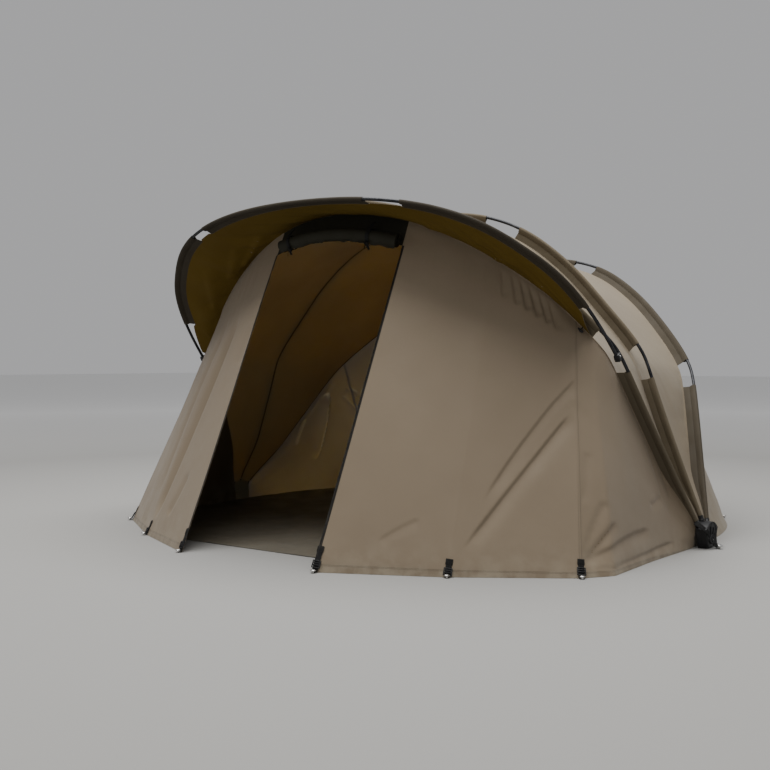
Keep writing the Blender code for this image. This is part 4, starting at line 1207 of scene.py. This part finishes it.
knuckle_up = facing_to(np.cross(ahead, np.array([1.0, 0.0, 0.0])), upwards)
for side_name, side in sides.items():
    pivot = np.array([side * hinge[0], porch_origin[1], porch_origin[2]])
    outwards = np.array([side, 0.0, 0.0])
    moulded(f"porch_hinge_{side_name}", [
        ((0.0032, 0.0053, -0.008), (0.0250, 0.0320, 0.0350)),
        ((0.0032, -0.0065, -0.006), (0.0290, 0.0090, 0.0240)),
        ((0.0032, 0.0150, -0.008), (0.0280, 0.0060, 0.0300))], (pivot, (outwards, -ahead,
                                                                        knuckle_up)),
        plastic, "hub", [f"porch_knuckle_{side_name}"], bevel=0.0028, segments=3)
    turned(f"hinge_bolt_{side_name}", [(0.0, 0.0050), (0.0010, 0.0054), (0.0016, 0.0054),
                                       (0.0020, 0.0036), (0.0042, 0.0034), (0.0050, 0.0024),
                                       (0.0052, 0.0008)], pivot + outwards * 0.0152, outwards,
           steel, "hub", sides=24)
    toggle = np.array([side * 1.168, -0.592, 1.046])
    above = np.array([side * 0.012, 0.010, 0.022])
    hang = np.linspace(0.0, 1.0, 16)[:, None]
    strap(f"toggle_loop_{side_name}", toggle + above * (1.0 - hang)
          + outwards * np.sin(math.pi * hang) * 0.006, np.array([0.0, -1.0, 0.3]), 0.006, 0.003)
    turned(f"toggle_{side_name}", [(-0.021, 0.0015), (-0.020, 0.0050), (-0.014, 0.0068),
                                   (-0.004, 0.0058), (0.004, 0.0058), (0.014, 0.0068),
                                   (0.020, 0.0050), (0.021, 0.0015)], toggle,
           (side * 0.72, -0.10, -0.45), plastic, "hub", sides=20)


# Hem fixings: at each peg a webbing strap is stitched to the wall and ends under the head of a
# steel ground peg; at the front it goes through a ladder buckle on the way.
def ladder_buckle(name, slot, place, down, face, half, length, rungs):
    """A moulded frame on a strap: two side bars, and rungs of (lift, along the strap, size)."""
    face = square_to(face, down)
    blocks = [((x, 0.0018, 0.0), (0.0042, 0.0062, length)) for x in (-half, half)]
    blocks += [((0.0, lift, z), size) for lift, z, size in rungs]
    moulded(name, blocks, (place, (np.cross(down, face), face, -down)), plastic, slot,
            bevel=0.0011)


wall_drop = 1.35
patch_above = 0.02


def hem_fixing(name, surface, place, node, height, buckled):
    """Strap, stitched patch and peg at one place along a hem, and a buckle where it is buckled."""
    points, outward = surface(np.array([place - 0.05, place, place + 0.05]),
                              np.linspace(1.0 - (height + patch_above) / wall_drop, 1.0, 24))
    line, out = points[1], unit(outward[1])
    keep = line[:, 2] < height
    line, out = line[keep], out[keep]
    lift = 0.0016 + 0.0040 * ease(np.linspace(0.0, 1.0, len(line)), 0.25, 0.8)
    lifted = line + out * lift[:, None]
    foot_out = unit(out[-1] * np.array([1.0, 1.0, 0.0]))
    peg = np.array([line[-1, 0], line[-1, 1], 0.0]) + foot_out * 0.016
    toward = peg + upwards * 0.0065 - lifted[-2]
    lifted = np.concatenate([lifted[:-1], lifted[-2] + toward * np.linspace(0.0, 1.0, 8)[1:, None]])
    out = np.concatenate([out[:-1], np.repeat((out[-1] + upwards * 0.8)[None], 7, 0)])
    strap(f"{name}_strap", lifted, out, 0.026, 0.0018, [node])
    down = unit(lifted[1] - lifted[0])
    patch = (lifted[1] + down * 0.008, (unit(np.cross(lifted[1] - lifted[0], out[0])), out[0],
                                        -down))
    moulded(f"{name}_patch", [((0.0, 0.0006, 0.0), (0.031, 0.0016, 0.026))], patch, webbing,
            "webbing", bevel=0.0006)
    threads = []
    for x in (-0.011, 0.011):
        threads.append(((x, 0.0017, 0.0), (0.0009, 0.0008, 0.019)))
        threads.append(((0.0, 0.0017, x * 0.82), (0.022, 0.0008, 0.0009)))
    moulded(f"{name}_threads", threads, patch, tape_cloth, "webbing", bevel=0.0003, segments=1)
    if buckled:
        middle = len(lifted) // 2
        rungs = [(lift, z, (0.034, thick, 0.0046)) for lift, z, thick in (
            (0.0018, -0.0150, 0.0056), (0.0030, -0.0030, 0.0050), (0.0026, 0.0060, 0.0044),
            (0.0018, 0.0150, 0.0056))]
        ladder_buckle(f"{name}_buckle", "webbing", lifted[middle],
                      unit(lifted[middle + 1] - lifted[middle]), out[middle], 0.0168, 0.034,
                      rungs)
    turned(f"{name}_peg", [(0.0003, 0.0020), (0.0006, 0.0042), (0.0080, 0.0044), (0.0084, 0.0112),
                           (0.0096, 0.0120), (0.0124, 0.0120), (0.0146, 0.0100),
                           (0.0152, 0.0060), (0.0153, 0.0010)], peg, upwards, steel, "webbing")


for number, (place, height) in enumerate(((seam_place, 0.075), (11.0, 0.075),
                                          (door_place - 0.06, 0.112)), start=1):
    for side_name, side in sides.items():
        hem_fixing(f"front_{side_name}_{number}", front_surface, on_side(side, place),
                   f"front_tab_{side_name}_{number}", height, True)
for label, place in (("right", 6.0), ("middle", 16.0), ("left", last_place - 6.0)):
    hem_fixing(f"back_{label}", back_wall.at, place, f"back_tab_{label}", 0.085, False)


# Hubs: moulded fans that the three ribs fold on, with recessed sides, a steel pivot bolt, a socket
# round each rib's end, and the webbing and peg that hold the corner of the tent to the ground.
hub_span, hub_radius = 1.564, 0.126
hub_inner, hub_outer = 0.0305, 0.025
fan_angles = np.radians(np.linspace(-40.0, 46.0, 34))
fan = np.array([(-0.045, 0.0), *((hub_radius * math.sin(a), hub_radius * math.cos(a))
                                 for a in fan_angles), (0.050, 0.0)])
fan_levels = [(-hub_inner, 0.93), (-hub_inner, 0.955), (-hub_inner + 0.0035, 1.0),
              (hub_outer - 0.0040, 1.0), (hub_outer, 0.950), (hub_outer, 0.815),
              (hub_outer - 0.0050, 0.785), (hub_outer - 0.0055, 0.30)]
web_angles = np.radians([-26.0, -2.0, 24.0, 40.0])


def bent_strap(name, knots, facing, width, corner):
    """A strap through given points of the right corner, rounded where it bends."""
    bend = np.linspace(0.0, 1.0, 26)
    line = np.stack([np.interp(bend, np.linspace(0.0, 1.0, len(knots)), column)
                     for column in np.transpose(knots)], 1)
    line = (np.roll(line, 1, 0) + line + np.roll(line, -1, 0)) / 3.0
    line[0], line[-1] = knots[0], knots[-1]
    start, end = np.array(facing)
    facing = start + (end - start) * bend[:, None]
    strap(name, line * corner, facing * corner, width, 0.0018)


for side_name, side in sides.items():
    middle = fan.mean(0)
    rings = []
    for x, share in fan_levels:
        ring = middle + (fan - middle) * share
        rings.append([(side * (hub_span + x), y, max(z, 0.0)) for y, z in ring])
    piece(f"hub_body_{side_name}", *join_rings(rings), [plastic], "hub", [f"hub_{side_name}"],
          sharp=30.0)
    outwards = np.array([side, 0.0, 0.0])
    for number, angle in enumerate(web_angles, start=1):
        radial = np.array([0.0, math.sin(angle), math.cos(angle)])
        level = np.array([0.0, math.cos(angle), -math.sin(angle)])
        moulded(f"hub_web_{side_name}_{number}", [((0.0, 0.0, 0.0), (0.0050, 0.0046, 0.060))],
                (outwards * (hub_span + hub_outer - 0.0040) + radial * 0.071,
                 (outwards, level, radial)), plastic, "hub")
    pivot = outwards * (hub_span + hub_outer - 0.0056) + upwards * pivot_height
    turned(f"hub_boss_{side_name}", [(0.0, 0.020), (0.0050, 0.0195), (0.0064, 0.0175),
                                     (0.0066, 0.0100)], pivot, outwards, plastic, "hub", sides=36)
    turned(f"hub_bolt_{side_name}", [(0.0062, 0.0100), (0.0078, 0.0100), (0.0080, 0.0074),
                                     (0.0120, 0.0070), (0.0132, 0.0050), (0.0136, 0.0015)],
           pivot, outwards, steel, "hub", sides=24)
    for rib_name, rib in ground_ribs.items():
        share = np.array([0.5 - 0.5 * side])
        turned(f"{rib_name}_socket_{side_name}",
               [(-0.0040, 0.0085), (-0.0030, 0.0150), (0.0040, 0.0148), (0.0056, 0.0124),
                (0.0190, 0.0114), (0.0200, 0.0122), (0.0232, 0.0122), (0.0240, 0.0108),
                (0.0236, 0.0084)], rib.get("centre", share)[0], rib.get("along", share)[0] * side,
               plastic, "hub")

    corner = np.array([side, 1.0, 1.0])
    bent_strap(f"hub_strap_{side_name}", [
        (1.538, -0.088, 0.128), (1.566, -0.090, 0.112), (1.592, -0.074, 0.088),
        (1.600, -0.052, 0.056), (1.606, -0.030, 0.026), (1.622, -0.014, 0.010)],
        [(0.4, -0.8, 0.6), (1.0, -0.1, 0.5)], 0.025, corner)
    bent_strap(f"hub_spare_strap_{side_name}", [
        (1.594, 0.020, 0.120), (1.603, 0.030, 0.090), (1.600, 0.022, 0.058),
        (1.607, 0.004, 0.030), (1.621, -0.008, 0.011)],
        [(1.0, 0.3, 0.1), (1.0, -0.1, 0.6)], 0.022, corner)
    ladder_buckle(f"hub_buckle_{side_name}", "hub", np.array([1.6030, -0.044, 0.048]) * corner,
                  unit(np.array([0.20, 0.45, -0.75]) * corner), np.array([side, -0.35, 0.25]),
                  0.0160, 0.032, [(0.0020, z, (0.033, 0.0052, 0.0044))
                                  for z in (-0.0140, -0.0030, 0.0056, 0.0140)])
    turned(f"hub_peg_{side_name}", [(0.0003, 0.0020), (0.0006, 0.0045), (0.0140, 0.0047),
                                    (0.0146, 0.0125), (0.0160, 0.0135), (0.0200, 0.0135),
                                    (0.0226, 0.0110), (0.0234, 0.0060), (0.0235, 0.0010)],
           np.array([1.628, -0.012, 0.0]) * corner, (side * 0.30, -0.16, 1.0), steel, "hub")


low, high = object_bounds()
